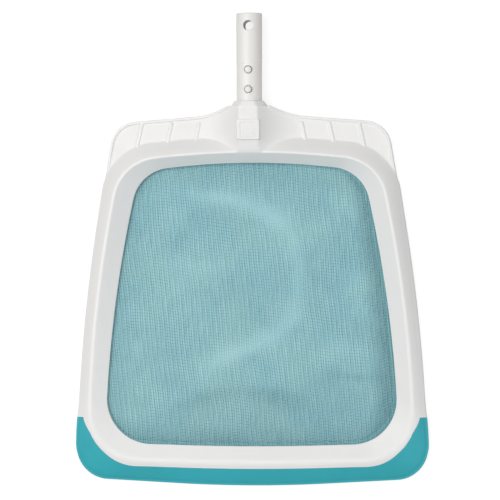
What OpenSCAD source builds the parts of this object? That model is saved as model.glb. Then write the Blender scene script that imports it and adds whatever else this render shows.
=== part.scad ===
// Flat leaf skimmer: a moulded ring frame with a slack net, a soft scoop lip and a
// tube spigot with lock buttons that fits a telescopic pole. Millimetres.
// It lies on its back: X across, +Y towards the pole, +Z up out of the mouth.

/* [Overall] */
// Length over the lip and the end of the tube
overall_len = 524.4; // [480:0.1:640]

/* [Mouth] */
// Length of the mouth on the centre line
mouth_len = 316; // [260:1:380]
// Width of the mouth between its upper corner points
mouth_top_w = 246; // [210:1:290]
// Width of the mouth where its sides bend
mouth_mid_w = 305; // [270:1:360]
// Width of the mouth between its lower corner points
mouth_bottom_w = 324; // [290:1:390]
// How far the upper corners lie below the middle of the top edge
mouth_top_crown = 8; // [2:0.5:14]
// How far the lower corners lie above the middle of the bottom edge
mouth_bottom_bow = 10.5; // [3:0.5:16]
// Radius of the mouth's corners
mouth_corner_r = 32; // [26:1:40]
// How far the mouth's rim lies above the cord in its hem, less the wall
rim_step = -0.85; // [-1:0.05:1]

/* [Ring frame] */
// Wall of the moulding
wall = 2.4; // [1.8:0.1:3]
// Height of the ridge at the pole end
ridge_high = 26; // [20:0.5:30]
// Room under the ridge at the lip, above the cord in the hem
crest_room = 2.55; // [2.2:0.05:4]
// Height of the outer edge at the pole end
edge_high = 10.8; // [9:0.1:12]
// Height of the outer edge at the lip
edge_low = 3.5; // [3.2:0.1:5]
// Distance from the mouth to the ridge at the top middle
ridge_top = 13; // [13:0.5:18]
// The same across and along at the upper corner points
ridge_top_corner = [22, 8];
// The same across where the sides bend
ridge_mid = 18; // [16:0.5:22]
// The same across and along at the lower corner points
ridge_bottom_corner = [16.5, 27];
// The same at the bottom middle
ridge_bottom = 26.5; // [22:0.5:30]
// Radius of the ridge's corners
ridge_corner_r = 38; // [30:1:46]
// Distance from the mouth to the outer edge at the top middle
edge_top = 29.5; // [28:0.5:34]
// The same across and along at the upper corner points
edge_top_corner = [32.5, 23.2];
// The same across where the sides bend
edge_mid = 33; // [30:0.5:38]
// The same across and along at the lower corner points
edge_bottom_corner = [35, 45.5];
// The same at the bottom middle
edge_bottom = 43.7; // [41:0.1:50]
// Radius of the outer edge's upper corners
edge_top_r = 40; // [32:1:48]
// Radius of the outer edge's lower corners
edge_bottom_r = 30; // [24:1:40]

/* [Wings] */
// Distance of the wing's upper edge above the ring's outer edge, at its corner point
wing_rise = 28.8; // [22:0.1:36]
// How far the wing's corner stands out beyond the line of the ring's side
wing_flare = 2.3; // [0:0.1:4]
// Height of the wing plate
plate_top = 11.4; // [10:0.1:14]
// Thickness of the wing plate
plate_t = 2.6; // [2:0.1:4]
// Width of the wing's raised rim
wing_rim_w = 2.8; // [2:0.1:4]
// Height of that rim above the plate
wing_rim_h = 2.2; // [1:0.1:4]
// Radius of the wing's corner
wing_corner_r = 18; // [12:1:24]
// Where the wing leaves the yoke: distance from the centre line and height above the wing's corner
wing_hollow = [51.5, 5.8];
// Radius of the hollow there
wing_hollow_r = 40; // [16:1:50]
// Distances of the slanted ribs from the centre line
rib_places = [57.2, 88, 121];
// How far a rib slants outwards
rib_slant = 5.6; // [0:0.1:10]
// Thickness of a rib
rib_t = 2.9; // [1.2:0.1:3]
// Height of a rib above the plate
rib_h = 1.9; // [1:0.1:3]

/* [Yoke] */
// Width of the yoke at its pole end
yoke_w = 46.6; // [42:0.1:54]
// Width of the housing that holds the tube's foot
housing_w = 54; // [52:0.5:60]
// Wall of the housing towards the pole
housing_end = 3.6; // [3:0.1:5]
// Length of the yoke beyond the ring's outer edge
yoke_len = 33.4; // [30:0.1:40]
// Width of the flat spine
spine_w = 21; // [16:0.5:25]
// Reach of the yoke's flanks beside the spine
flank_reach = 50; // [40:1:60]
// Wall of the spine over the tube
spine_wall = 2.9; // [2.2:0.05:4]
// Length of the spine's slope down to the ridge
spine_foot = 16; // [10:0.5:20]
// Width, length and thickness of the blank pad on the spine
pad = [25.7, 21, 1.2];
// Width of the border round the pad's hollow
pad_border = 3.9; // [2:0.1:5]
// Length of the collar beyond the yoke
collar_len = 5.6; // [4:0.1:10]
// Wall of the collar at its end
collar_wall = 2; // [2:0.05:4]
// How much wider the collar is at the yoke, and at its waist
collar_flare = [12.9, 2.8];

/* [Tube] */
// Diameter of the tube's guide land, which fits the pole
tube_d = 28.6; // [22:0.1:35]
// How far the tube is relieved between its foot and its guide land
tube_relief = 0.2; // [0.2:0.05:0.5]
// Wall of the tube
tube_wall = 2.6; // [2:0.1:3.2]
// Length of the tube inside the yoke and collar
tube_socket = 37; // [34:0.5:42]
// Distance of the hanging hole from the tube's end
hang_hole_in = 13.8; // [9:0.1:20]
// Diameter of the hanging hole
hang_hole_d = 11; // [6:0.5:12]

/* [Lock buttons] */
// Diameter of a button's head
button_d = 8; // [6.5:0.1:9]
// How far a head stands out of the tube
button_out = 3.6; // [2.5:0.1:3.8]
// Travel of a button
button_travel = 4; // [3:0.1:4.4]
// Height of the rear buttons above the ground
button_lift = 1.1; // [0.5:0.05:4]
// Distance of the lower pair from the collar
button_first = 12.5; // [10:0.1:20]
// Distance between the two pairs
button_pitch = 21.8; // [20:0.1:30]
// Width of the clip's strip
clip_w = 8; // [6:0.1:9]
// Thickness of the clip's strip
clip_t = 0.8; // [0.5:0.1:1]
// Length of a clip's straight legs from its bend to the button
clip_leg = 14; // [11:0.5:18]

/* [Scoop lip] */
// How far the lip stands out beyond the moulding at the front
lip_over = 5; // [3:0.1:7]
// The same at the lip's tips
lip_tip_over = 2.6; // [2:0.1:4]
// Thickness of the lip on the slope
lip_t = 2.6; // [2:0.1:3]
// How far the lip's tips reach up from the front edge
lip_reach = 76.3; // [60:0.1:100]
// Height of the lip above the ground
lip_lift = 0.5; // [0.3:0.1:1]

/* [Net and hem] */
// Number of gaps across and along the net
net_gaps = [17, 17];
// Width of the net's cords
net_cord_w = 2.2; // [1.5:0.1:3]
// Thickness of the net
net_t = 0.8; // [0.6:0.1:0.8]
// How far the middle of the net hangs below its edge
net_sag = 1; // [0:0.1:1.2]
// Width of the doubled hem that shows inside the mouth
hem_show = 7; // [4:0.5:10]
// Diameter of the cord in the hem
hem_cord_d = 3.4; // [2.6:0.1:4.2]

/* [Screws] */
// Diameter of a cover screw's shank
cover_screw_d = 2.9; // [2.5:0.1:3.5]
// Length of a cover screw's shank
cover_screw_len = 12; // [8:0.5:14]
// Diameter of a tube screw's shank
tube_screw_d = 3.9; // [3:0.1:4.2]

/* [Hidden] */

gap = 0.2;          // clearance between rigid pieces
tube_bore = tube_d - 2 * tube_wall;
tube_foot_r = tube_d / 2;
axis_z = tube_foot_r + button_out + button_lift;        // height of the tube's axis
soft_gap = 0.15;    // clearance round soft pieces
fine = 48;          // sides of the larger round shapes
big = 1000;         // beyond the object on every side
lap = 0.02;         // how far one face passes another that it would else lie in

PLASTIC = "#f2f1ef";
LIP = "#329ea9";
CLOTH = "#8ebac0";
STEEL = "#b9bcc0";

// ---- outlines ----

function mix(a, b, t) = a + (b - a) * t;
function clamp01(t) = max(0, min(1, t));
function smooth(t) = let (c = clamp01(t)) c * c * (3 - 2 * c);
function unit(v) = v / norm(v);
function flip(v) = [-v[0], v[1], v[2], v[3]];

// The arc that rounds corner v = [x, y, radius, steps] between its two neighbours
function rounded(before, v, after) =
    let (
        p = [v[0], v[1]],
        a = unit([before[0], before[1]] - p),
        b = unit([after[0], after[1]] - p),
        half = acos(a * b) / 2,
        middle = p + unit(a + b) * v[2] / sin(half),
        from = p + a * v[2] / tan(half) - middle,
        start = atan2(from[1], from[0]),
        turn = (a[0] * b[1] - a[1] * b[0] > 0 ? -1 : 1) * (180 - 2 * half)
    )
    [for (i = [0:v[3]]) middle + v[2] * [cos(start + turn * i / v[3]), sin(start + turn * i / v[3])]];

// A closed outline through rounded corners
function outline(corners) =
    let (n = len(corners))
    [for (i = [0:n - 1]) each rounded(corners[(i + n - 1) % n], corners[i], corners[(i + 1) % n])];

// The corner points of one edge of the ring: clockwise from the top middle
function ring_corners(top, top_corner, mid, bottom_corner, bottom, r_top, r_bottom, steps) =
    let (
        c0 = [0, mouth_y + top, crown_r, 4],
        c1 = [mouth_top_w / 2 + top_corner[0], mouth_y - mouth_top_crown + top_corner[1], r_top, steps],
        c2 = [mouth_mid_w / 2 + mid, mouth_y - mouth_len / 2, side_r, 4],
        c3 = [mouth_bottom_w / 2 + bottom_corner[0],
              mouth_y - mouth_len + mouth_bottom_bow - bottom_corner[1], r_bottom, steps],
        c4 = [0, mouth_y - mouth_len - bottom, crown_r, 6]
    )
    [c0, c1, c2, c3, c4, flip(c3), flip(c2), flip(c1)];

crown_r = 900;      // radius of the crowned top and the bowed bottom
side_r = 900;       // radius of the bend in the sides
corner_steps = 12;  // chords in one corner of the mouth
edge_steps = 16;    // chords in one corner of the ridge or outer edge

// The front edge is flattened by its own bow, so the mouth is placed from the true front
front_rise = mouth_bottom_bow - edge_bottom_corner[1] + edge_bottom;
front_slope = atan2(front_rise, mouth_bottom_w / 2 + edge_bottom_corner[0]);
front_flat = crown_r * (1 / cos(front_slope) - 1);
mouth_y = -overall_len / 2 + mouth_len + edge_bottom - front_flat;
tube_end_y = overall_len / 2;

mouth = outline(ring_corners(0, [0, 0], 0, [0, 0], 0, mouth_corner_r, mouth_corner_r, corner_steps));
ridge = outline(ring_corners(ridge_top, ridge_top_corner, ridge_mid, ridge_bottom_corner, ridge_bottom,
                             ridge_corner_r, ridge_corner_r, edge_steps));
edge = outline(ring_corners(edge_top, edge_top_corner, edge_mid, edge_bottom_corner, edge_bottom,
                            edge_top_r, edge_bottom_r, edge_steps));

// Outward direction at point i of the mouth
function outward(i) =
    let (
        n = len(mouth),
        t = unit(unit(mouth[(i + 1) % n] - mouth[i]) + unit(mouth[i] - mouth[(i + n - 1) % n]))
    )
    [-t[1], t[0]];

// Distance from p along direction d to a closed outline
function reach(p, d, points) =
    let (
        n = len(points),
        hits = [for (i = [0:n - 1])
            let (
                a = points[i] - p,
                e = points[(i + 1) % n] - points[i],
                det = e[0] * d[1] - e[1] * d[0]
            )
            if (abs(det) > 1e-9)
                let (
                    along = (e[0] * a[1] - e[1] * a[0]) / det,
                    part = (d[0] * a[1] - d[1] * a[0]) / det
                )
                if (along > 0 && part >= -1e-6 && part <= 1 + 1e-6) along]
    )
    min(hits);

// ---- stations round the mouth: [point, outward direction, to the ridge, to the outer edge] ----

stations = [for (i = [0:len(mouth) - 1])
    let (p = mouth[i], d = outward(i))
    [p, d, reach(p, d, ridge), reach(p, d, edge)]];
COUNT = len(stations);

// Where the rounded corners and middles fall in that list
TOP_MIDDLE = 2;
TOP_RIGHT = 5 + corner_steps / 2;
BOTTOM_RIGHT = 5 + (corner_steps + 1) + 5 + corner_steps / 2;
BOTTOM_MIDDLE = 5 + (corner_steps + 1) + 5 + (corner_steps + 1) + 3;
BOTTOM_LEFT = BOTTOM_MIDDLE + 4 + corner_steps / 2;
TOP_LEFT = COUNT - 1 - corner_steps / 2;

// A station at any place s between two of the list
function station(s) =
    let (i = floor(s), t = s - i, a = stations[i % COUNT], b = stations[(i + 1) % COUNT])
    t < 1e-6 ? a : [mix(a[0], b[0], t), unit(mix(a[1], b[1], t)), mix(a[2], b[2], t), mix(a[3], b[3], t)];

// The point at distance u outside the mouth's edge and height z
function at(st, u, z) = [st[0][0] + st[1][0] * u, st[0][1] + st[1][1] * u, z];
function at_all(st, uz) = [for (p = uz) at(st, p[0], p[1])];
function edge_y(st) = st[0][1] + st[1][1] * st[3];
function ridge_y(st) = st[0][1] + st[1][1] * st[2];

// Heights of the ridge and the outer edge, which fall evenly towards the lip
function fall(y) = (y + overall_len / 2) / (mouth_y + edge_top + overall_len / 2);
function ridge_z(st) = mix(ridge_low, ridge_high, fall(ridge_y(st)));
function edge_z(st) = mix(edge_low, edge_high, fall(edge_y(st)));

// ---- solids from sections ----

// A solid through sections of equal counts, closed into a ring, or with its ends capped by
// the triangles of cap, which name a section's points
module loft(sections, closed = false, cap = []) {
    n = len(sections);
    m = len(sections[0]);
    spans = closed ? n : n - 1;
    sides = [for (i = [0:spans - 1], j = [0:m - 1], k = [0, 1])
        let (
            a = i * m + j,
            b = i * m + (j + 1) % m,
            c = (i + 1) % n * m + (j + 1) % m,
            d = (i + 1) % n * m + j
        )
        k == 0 ? [a, b, c] : [a, c, d]];
    ends = [for (t = cap) each [[t[2], t[1], t[0]], [for (j = t) (n - 1) * m + j]]];
    polyhedron(points = [for (s = sections) each s], faces = concat(sides, ends), convexity = 12);
}

// A solid between two heights given over a grid of xs and ys
module height_block(xs, ys, bottom, top) {
    nx = len(xs);
    ny = len(ys);
    size = nx * ny;
    function v(i, j, k) = k * size + j * nx + i;
    points = concat(
        [for (j = [0:ny - 1], i = [0:nx - 1]) [xs[i], ys[j], bottom[j][i]]],
        [for (j = [0:ny - 1], i = [0:nx - 1]) [xs[i], ys[j], top[j][i]]]);
    sheets = [for (j = [0:ny - 2], i = [0:nx - 2]) each [
        [v(i, j, 0), v(i + 1, j, 0), v(i + 1, j + 1, 0)], [v(i, j, 0), v(i + 1, j + 1, 0), v(i, j + 1, 0)],
        [v(i, j, 1), v(i + 1, j + 1, 1), v(i + 1, j, 1)], [v(i, j, 1), v(i, j + 1, 1), v(i + 1, j + 1, 1)]]];
    front = [for (i = [0:nx - 2]) each [
        [v(i, 0, 0), v(i + 1, 0, 1), v(i + 1, 0, 0)], [v(i, 0, 0), v(i, 0, 1), v(i + 1, 0, 1)],
        [v(i, ny - 1, 0), v(i + 1, ny - 1, 0), v(i + 1, ny - 1, 1)],
        [v(i, ny - 1, 0), v(i + 1, ny - 1, 1), v(i, ny - 1, 1)]]];
    flanks = [for (j = [0:ny - 2]) each [
        [v(0, j, 0), v(0, j + 1, 0), v(0, j + 1, 1)], [v(0, j, 0), v(0, j + 1, 1), v(0, j, 1)],
        [v(nx - 1, j, 0), v(nx - 1, j + 1, 1), v(nx - 1, j + 1, 0)],
        [v(nx - 1, j, 0), v(nx - 1, j, 1), v(nx - 1, j + 1, 1)]]];
    polyhedron(points = points, faces = concat(sheets, front, flanks), convexity = 12);
}

module along_y(y, x = 0, z = axis_z) {
    translate([x, y, z]) rotate([-90, 0, 0]) children();
}

// ---- the hem channel under the rim, as distances outside the mouth's edge and heights ----

rim_bottom = 4.2;                    // underside of the mouth's rim
net_z = 2.5;                         // middle of the net at its edge
hem_t = 0.8;                         // thickness of the hem
strip_bottom = 0.5;                  // underside of the retainer strips
strip_top = 1.8;
hem_top = rim_bottom - 0.3;
hem_in = wall + 0.8;                 // inner face of the hem's pocket
hem_floor = net_z - net_t / 2;
pocket_in = hem_in + hem_t;
cord_u = pocket_in + 0.15 + hem_cord_d / 2;
cord_z = hem_floor + hem_t + 0.15 + hem_cord_d / 2;
cord_top = cord_z + hem_cord_d / 2;
rim_top = cord_top + rim_step + wall;                           // top of the mouth's rim
ridge_low = cord_top + wall + lip_t + crest_room;               // height of the ridge at the lip
pocket_out = cord_u + hem_cord_d / 2 + 0.15;
hem_out = pocket_out + hem_t;
leg_in = hem_out + 0.25;             // leg of a retainer strip
leg_out = leg_in + 1;
hook_out = leg_out + 0.45;
bead_in = leg_out + 0.2;             // bead that the hook snaps over
lock_in = bead_in + 0.4;             // inner face of the locking rib
lock_out = lock_in + 1.4;
lock_bottom = 2.2;
bead_low = 2.6;
bead_high = 3.4;
hook_low = bead_high + 0.3;
hook_high = hook_low + 1.2;

// ---- the ring ----

// Height of the outer slope at distance u
function slope_z(st, u) = mix(ridge_z(st), edge_z(st), (u - st[2] - ridge_half) / (st[3] - st[2] - ridge_half));
ridge_half = 1.4;   // half width of the ridge's flat

function ring_section(st) =
    let (zr = ridge_z(st), ze = edge_z(st))
    [[0, 0], [0, rim_top - 0.7], [0.7, rim_top],
     [st[2] - ridge_half - 0.5, zr - 1.1], [st[2] - 0.5, zr], [st[2] + 0.5, zr],
     [st[2] + ridge_half + 0.5, slope_z(st, st[2] + ridge_half + 0.5)],
     [st[3] - 0.9, slope_z(st, st[3] - 0.9)], [st[3], ze - 0.9], [st[3], 0]];

// 1 where the lip seats, falling to 0 above its tips
function under_lip(st) = smooth((lip_tip_y + 22 - edge_y(st)) / 20);
lip_tip_y = -overall_len / 2 + lip_reach;
function over_at(st) = mix(lip_tip_over, lip_over, smooth((lip_tip_y - edge_y(st)) / 30));

// The open underside of the ring, with the locking rib and its bead left standing
function ring_hollow(st) =
    let (
        zr = ridge_z(st),
        lip = under_lip(st),
        in_slope = atan2(zr - rim_top, st[2] - ridge_half),
        out_slope = atan2(zr - edge_z(st), st[3] - st[2] - ridge_half),
        ceiling_in = rim_top - wall / cos(in_slope),
        drop = (lip_t + soft_gap) * lip + wall / cos(out_slope),
        outer = st[3] - wall - (over_at(st) + soft_gap) * lip,
        crest = min(ceiling_in + tan(in_slope) * st[2], zr - drop),
        rise = max(0.2, (crest - ceiling_in) / st[2])
    )
    [[-1, -1], [-1, rim_bottom], [wall, rim_bottom], [wall, ceiling_in + rise * wall],
     [lock_in, ceiling_in + rise * lock_in], [lock_in, bead_high], [bead_in, bead_high - 0.25],
     [bead_in, bead_low + 0.25], [lock_in, bead_low], [lock_in, lock_bottom], [lock_out, lock_bottom],
     [lock_out, ceiling_in + rise * lock_out], [st[2], crest], [outer, slope_z(st, outer) - drop],
     [outer, -1]];

module ring_solid() {
    loft([for (st = stations) at_all(st, ring_section(st))], closed = true);
}
module ring_underside() {
    loft([for (st = stations) at_all(st, ring_hollow(st))], closed = true);
}

// ---- yoke and wings ----

top_edge_y = mouth_y + edge_top;                 // outer edge of the ring at its top middle
yoke_y = top_edge_y + yoke_len;                  // pole end of the yoke
foot_y = mouth_y + ridge_top - 1;                // the spine meets the ridge here
spine_z = axis_z + tube_foot_r + spine_wall;
collar_end_y = yoke_y + collar_len;
tube_foot_y = collar_end_y - tube_socket;
side_slope = (mouth_mid_w / 2 + edge_mid - mouth_top_w / 2 - edge_top_corner[0])
             / (mouth_len / 2 - mouth_top_crown + edge_top_corner[1]);
wing_corner_y = mouth_y - mouth_top_crown + edge_top_corner[1] + wing_rise;
wing_corner_x = mouth_top_w / 2 + edge_top_corner[0] - side_slope * wing_rise + wing_flare;

function spine_at(y) = mix(ridge_high + 0.8, spine_z, smooth((y - foot_y) / spine_foot));
function flank(x) = pow(1 - clamp01((abs(x) - spine_w / 2) / flank_reach), 2.2);
function yoke_top(x, y) = mix(plate_top, spine_at(y), flank(x));

half_xs = [for (t = [0, 0.03, 0.07, 0.13, 0.2, 0.29, 0.39, 0.5, 0.63, 0.8, 1]) spine_w / 2 + flank_reach * t];
yoke_xs = concat([-big / 4], [for (i = [len(half_xs) - 1:-1:0]) -half_xs[i]], half_xs, [big / 4]);
yoke_ys = [foot_y - 40, foot_y, foot_y + spine_foot * 0.2, foot_y + spine_foot * 0.4,
           foot_y + spine_foot * 0.6, foot_y + spine_foot * 0.8, foot_y + spine_foot, yoke_y + 30];

// Everything below the yoke's top surface, raised or sunk by lift, above height low
module below_yoke_top(lift, low) {
    height_block(yoke_xs, yoke_ys,
        [for (y = yoke_ys) [for (x = yoke_xs) low]],
        [for (y = yoke_ys) [for (x = yoke_xs) yoke_top(x, y) + lift]]);
}

wing_corners = [
    [yoke_w / 2, yoke_y, 2.5, 3],
    [wing_hollow[0], wing_corner_y + wing_hollow[1], wing_hollow_r, 6],
    [wing_corner_x, wing_corner_y, wing_corner_r, 8],
    [mouth_top_w / 2 + edge_top_corner[0] + side_slope * 30 - 0.5, mouth_y - mouth_top_crown + edge_top_corner[1] - 30, 0.5, 1],
    [mouth_top_w / 2 - 20, mouth_y - 60, 0.5, 1]
];
wing_outline = outline(concat(wing_corners, [for (i = [len(wing_corners) - 1:-1:0]) flip(wing_corners[i])]));

// The ring's outer wall in plan, just inside its face
ring_side = [for (i = [0:COUNT - 1]) let (st = station(i + 0.5), p = at(st, st[3] - 0.4, 0)) [p[0], p[1]]];

// Plan of the wings and yoke outside a given edge of the ring, inset from their outline
module wing_plan(inset, inner) {
    difference() {
        offset(delta = -inset) polygon(wing_outline);
        polygon(inner);
    }
}

module wing_body() {
    intersection() {
        below_yoke_top(0, 0);
        linear_extrude(big / 4) wing_plan(0, ridge);
    }
    intersection() {
        below_yoke_top(wing_rim_h, 0);
        linear_extrude(big / 4) difference() {
            wing_plan(-lap, ring_side);
            offset(delta = -wing_rim_w) polygon(wing_outline);
            square([yoke_w - 1, big], center = true);
        }
    }
}

// Open underside of the wings beside the yoke's housing
module wing_underside() {
    intersection() {
        below_yoke_top(-plate_t, -1);
        translate([0, 0, -1]) linear_extrude(big / 4) difference() {
            wing_plan(wall, ring_side);
            square([housing_w, big], center = true);
        }
    }
}

housing_in_x = housing_w / 2 - wall;
housing_y = [top_edge_y + wall, yoke_y - housing_end];

// Pocket of the yoke that the tube's foot lies in
module housing_pocket() {
    intersection() {
        below_yoke_top(-spine_wall, -1);
        translate([-housing_in_x, housing_y[0], -2])
            cube([2 * housing_in_x, housing_y[1] - housing_y[0], big / 4]);
    }
}

module wing_ribs() {
    low_y = wing_corner_y - wing_rise + 4;
    for (side = [-1, 1], x = rib_places)
        hull() for (end = [0, 1])
            translate([side * (x + end * rib_slant), mix(wing_corner_y, low_y, end), plate_top - 1])
                cylinder(h = 1 + rib_h, d1 = rib_t + 0.6, d2 = rib_t, $fn = 16);
}

// Eight-sided slab across the tube, w wide and h high
module octagon(w, h, t) {
    cut = h / (2 + sqrt(2));
    along_y(0) translate([0, 0, -t])
        linear_extrude(t) polygon([
            [w / 2, h / 2 - cut], [w / 2, cut - h / 2], [w / 2 - cut, -h / 2], [cut - w / 2, -h / 2],
            [-w / 2, cut - h / 2], [-w / 2, h / 2 - cut], [cut - w / 2, h / 2], [w / 2 - cut, h / 2]]);
}

module collar() {
    collar_w = 2 * (tube_foot_r + gap + collar_wall);
    hull() {
        translate([0, yoke_y + 0.5, 0]) octagon(collar_w + collar_flare[0], collar_w + 3.2, wall / 2);
        translate([0, yoke_y + collar_len * 0.6, 0]) octagon(collar_w + collar_flare[1], collar_w + 1.4, 0.8);
    }
    hull() {
        translate([0, yoke_y + collar_len * 0.45, 0]) octagon(collar_w + collar_flare[1] - 0.4, collar_w + 1.2, 0.8);
        translate([0, collar_end_y, 0]) octagon(collar_w, collar_w, 0.8);
    }
}

pad_y = top_edge_y - 4;
module blank_pad() {
    difference() {
        hull() for (x = [-1, 1], y = [0, 1])
            translate([x * (pad[0] / 2 - 1.5), pad_y + 1.5 + y * (pad[1] - 3), spine_z - 3])
                cylinder(h = 3 + pad[2], r1 = 2, r2 = 1.2, $fn = 16);
        translate([pad_border - pad[0] / 2, pad_y + pad_border * 0.7, spine_z + pad[2] / 2])
            cube([pad[0] - 2 * pad_border, pad[1] - 1.4 * pad_border, pad[2]]);
    }
}

saddle_t = 2.4;
boss_r = 3.6;
boss_x = housing_in_x - boss_r - 2.2;
boss_y = [housing_y[0] + boss_r + 0.6, housing_y[1] - boss_r - 0.6];
saddle_y = [boss_y[0] + boss_r + 1.2, boss_y[1] - boss_r - 1.2 - saddle_t];    // clear of the bosses
boss_bottom = 4.5;
cover_bottom = 0.4;
cover_top = 3;
seat_top = boss_bottom - gap;

// Ribs that hold the tube from above, and bosses for the cover's screws
module housing_inside() {
    intersection() {
        below_yoke_top(-spine_wall / 2, -1);
        union() {
            for (y = saddle_y)
                translate([-housing_in_x - 0.5, y, axis_z + gap]) cube([2 * housing_in_x + 1, saddle_t, big / 8]);
            for (side = [-1, 1], y = boss_y)
                translate([side * boss_x, y, boss_bottom]) cylinder(h = big / 8, r = boss_r, $fn = 32);
        }
    }
}

// ---- lip ----

// Share of the outer slope, from the ridge, that stays bare beside the lip's tips
function bare(st) = 0.5 * clamp01((edge_y(st) - lip_tip_y + 30) / 28);

function lip_section(st) =
    let (
        a = st[2] + ridge_half + 0.1 + bare(st) * (st[3] - st[2] - ridge_half),
        b = st[3] - over_at(st)
    )
    [[a, slope_z(st, a) - lip_t], [a, slope_z(st, a)], [st[3] - 0.9, slope_z(st, st[3] - 0.9)],
     [st[3], edge_z(st) - 0.9], [st[3], lip_lift + 0.7], [st[3] - 0.7, lip_lift],
     [b, lip_lift], [b, slope_z(st, b) - lip_t]];

function lip_seat_section(st) =
    let (
        a = st[2] + ridge_half + 0.1 + bare(st) * (st[3] - st[2] - ridge_half) - soft_gap,
        b = st[3] - over_at(st) - soft_gap
    )
    [[a, slope_z(st, a) - lip_t - soft_gap], [a, ridge_high], [st[3] + 3, ridge_high],
     [st[3] + 3, -1], [b, -1], [b, slope_z(st, b) - lip_t - soft_gap]];

lip_stations = [for (s = [BOTTOM_RIGHT - corner_steps / 2 - 1:0.5:BOTTOM_LEFT + corner_steps / 2 + 1])
    if (s == floor(s) || s < BOTTOM_RIGHT - corner_steps / 2 || s > BOTTOM_LEFT + corner_steps / 2) station(s)];

module below_tips(y) {
    translate([-big / 2, y - big, -big / 2]) cube([big, big, big]);
}

module scoop_lip() {
    color(LIP) intersection() {
        loft([for (st = lip_stations) at_all(st, lip_section(st))],
             cap = [[0, 1, 2], [0, 2, 7], [2, 3, 4], [2, 4, 7], [4, 5, 6], [4, 6, 7]]);
        below_tips(lip_tip_y);
    }
}

module lip_seat() {
    intersection() {
        loft([for (st = lip_stations) at_all(st, lip_seat_section(st))],
             cap = [[0, 1, 2], [0, 2, 5], [2, 3, 5], [3, 4, 5]]);
        below_tips(lip_tip_y + soft_gap);
    }
}

// ---- moulded frame ----

module frame_shell() {
    color(PLASTIC) difference() {
        union() {
            difference() {
                union() {
                    ring_solid();
                    wing_body();
                    wing_ribs();
                }
                ring_underside();
                wing_underside();
                housing_pocket();
            }
            housing_inside();
            collar();
            blank_pad();
        }
        along_y(tube_foot_y - 1) cylinder(h = tube_socket + 10, r = tube_foot_r + gap, $fn = 64);
        lip_seat();
        for (side = [-1, 1], y = boss_y)
            translate([side * boss_x, y, boss_bottom - 1])
                cylinder(h = cover_screw_len, d = cover_screw_d + 0.3, $fn = 24);
    }
}

// ---- yoke cover and screws ----

cover_screw_head = [6, 1.6];
tube_screw_head = [7, 1.6];
tube_screw_y = [tube_foot_y + 6, housing_y[1] - boss_r - 2.1];
tube_screw_tip = axis_z - tube_bore / 2 + 1.6;

module pan_screw(d, len, head) {
    difference() {
        union() {
            cylinder(h = head[1], d = head[0], $fn = 32);
            cylinder(h = head[1] + len - d / 2, d = d, $fn = 24);
            translate([0, 0, head[1] + len - d / 2]) cylinder(h = d / 2, d1 = d, d2 = d * 0.4, $fn = 24);
        }
        for (a = [0, 90])
            rotate([0, 0, a]) cube([head[0] * 0.6, 0.7, head[1]], center = true);
    }
}

module yoke_cover() {
    x = housing_in_x - gap;
    y0 = housing_y[0] + gap;
    y1 = housing_y[1] - gap;
    color(PLASTIC) difference() {
        union() {
            translate([-x, y0, cover_bottom]) cube([2 * x, y1 - y0, cover_top - cover_bottom]);
            for (side = [-1, 1], y = boss_y)
                translate([side * boss_x, y, cover_bottom])
                    cylinder(h = seat_top - cover_bottom, r = boss_r, $fn = 32);
            for (y = tube_screw_y)
                translate([0, y, cover_bottom]) cylinder(h = seat_top - cover_bottom, r = boss_r + 0.9, $fn = 32);
            for (y = saddle_y)
                translate([-tube_foot_r - 1.6, y, cover_bottom])
                    cube([2 * tube_foot_r + 3.2, saddle_t, axis_z - cover_bottom]);
        }
        along_y(y0 - 1) cylinder(h = y1 - y0 + 2, r = tube_foot_r + gap, $fn = fine);
        for (side = [-1, 1], y = boss_y) translate([side * boss_x, y, 0]) {
            cylinder(h = big / 8, d = cover_screw_d + 0.5, $fn = 24);
            cylinder(h = cover_bottom + cover_screw_head[1] + 0.2, d = cover_screw_head[0] + 0.6, $fn = 32);
        }
        for (y = tube_screw_y) translate([0, y, 0]) {
            cylinder(h = big / 8, d = tube_screw_d + 0.5, $fn = 24);
            cylinder(h = cover_bottom + tube_screw_head[1] + 0.2, d = tube_screw_head[0] + 0.6, $fn = 32);
        }
    }
}

module cover_screws() {
    color(STEEL) for (side = [-1, 1], y = boss_y)
        translate([side * boss_x, y, cover_bottom + 0.15]) pan_screw(cover_screw_d, cover_screw_len, cover_screw_head);
}

module tube_screws() {
    z = cover_bottom + 0.15;
    color(STEEL) for (y = tube_screw_y)
        translate([0, y, z])
            pan_screw(tube_screw_d, tube_screw_tip - z - tube_screw_head[1], tube_screw_head);
}

// ---- tube ----

relief_y = collar_end_y + 2.5;                 // the tube is relieved from here up to its guide land
land_y = button_y(1) + button_d / 2 + 3;
function button_y(k) = collar_end_y + button_first + k * button_pitch;
button_hole_d = button_d + 0.3;

module handle_tube() {
    color(PLASTIC) difference() {
        union() {
            along_y(tube_foot_y) cylinder(h = relief_y - tube_foot_y, r = tube_foot_r, $fn = 96);
            along_y(relief_y - 1) cylinder(h = land_y - relief_y + 2, r = tube_foot_r - tube_relief, $fn = 96);
            along_y(land_y) cylinder(h = tube_end_y - land_y - 0.8, d = tube_d, $fn = 96);
            along_y(tube_end_y - 0.8) cylinder(h = 0.8, d1 = tube_d, d2 = tube_d - 1.6, $fn = 96);
        }
        along_y(tube_foot_y - 1) cylinder(h = tube_end_y - tube_foot_y + 2, d = tube_bore, $fn = 96);
        for (k = [0, 1]) translate([0, button_y(k), 0]) cylinder(h = 2 * axis_z, d = button_hole_d, $fn = fine);
        translate([0, tube_end_y - hang_hole_in, 0]) cylinder(h = 2 * axis_z, d = hang_hole_d, $fn = fine);
        for (y = tube_screw_y) translate([0, y, 0]) cylinder(h = axis_z, d = tube_screw_d + 0.2, $fn = 24);
    }
}

// ---- lock buttons and their spring clips ----

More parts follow.
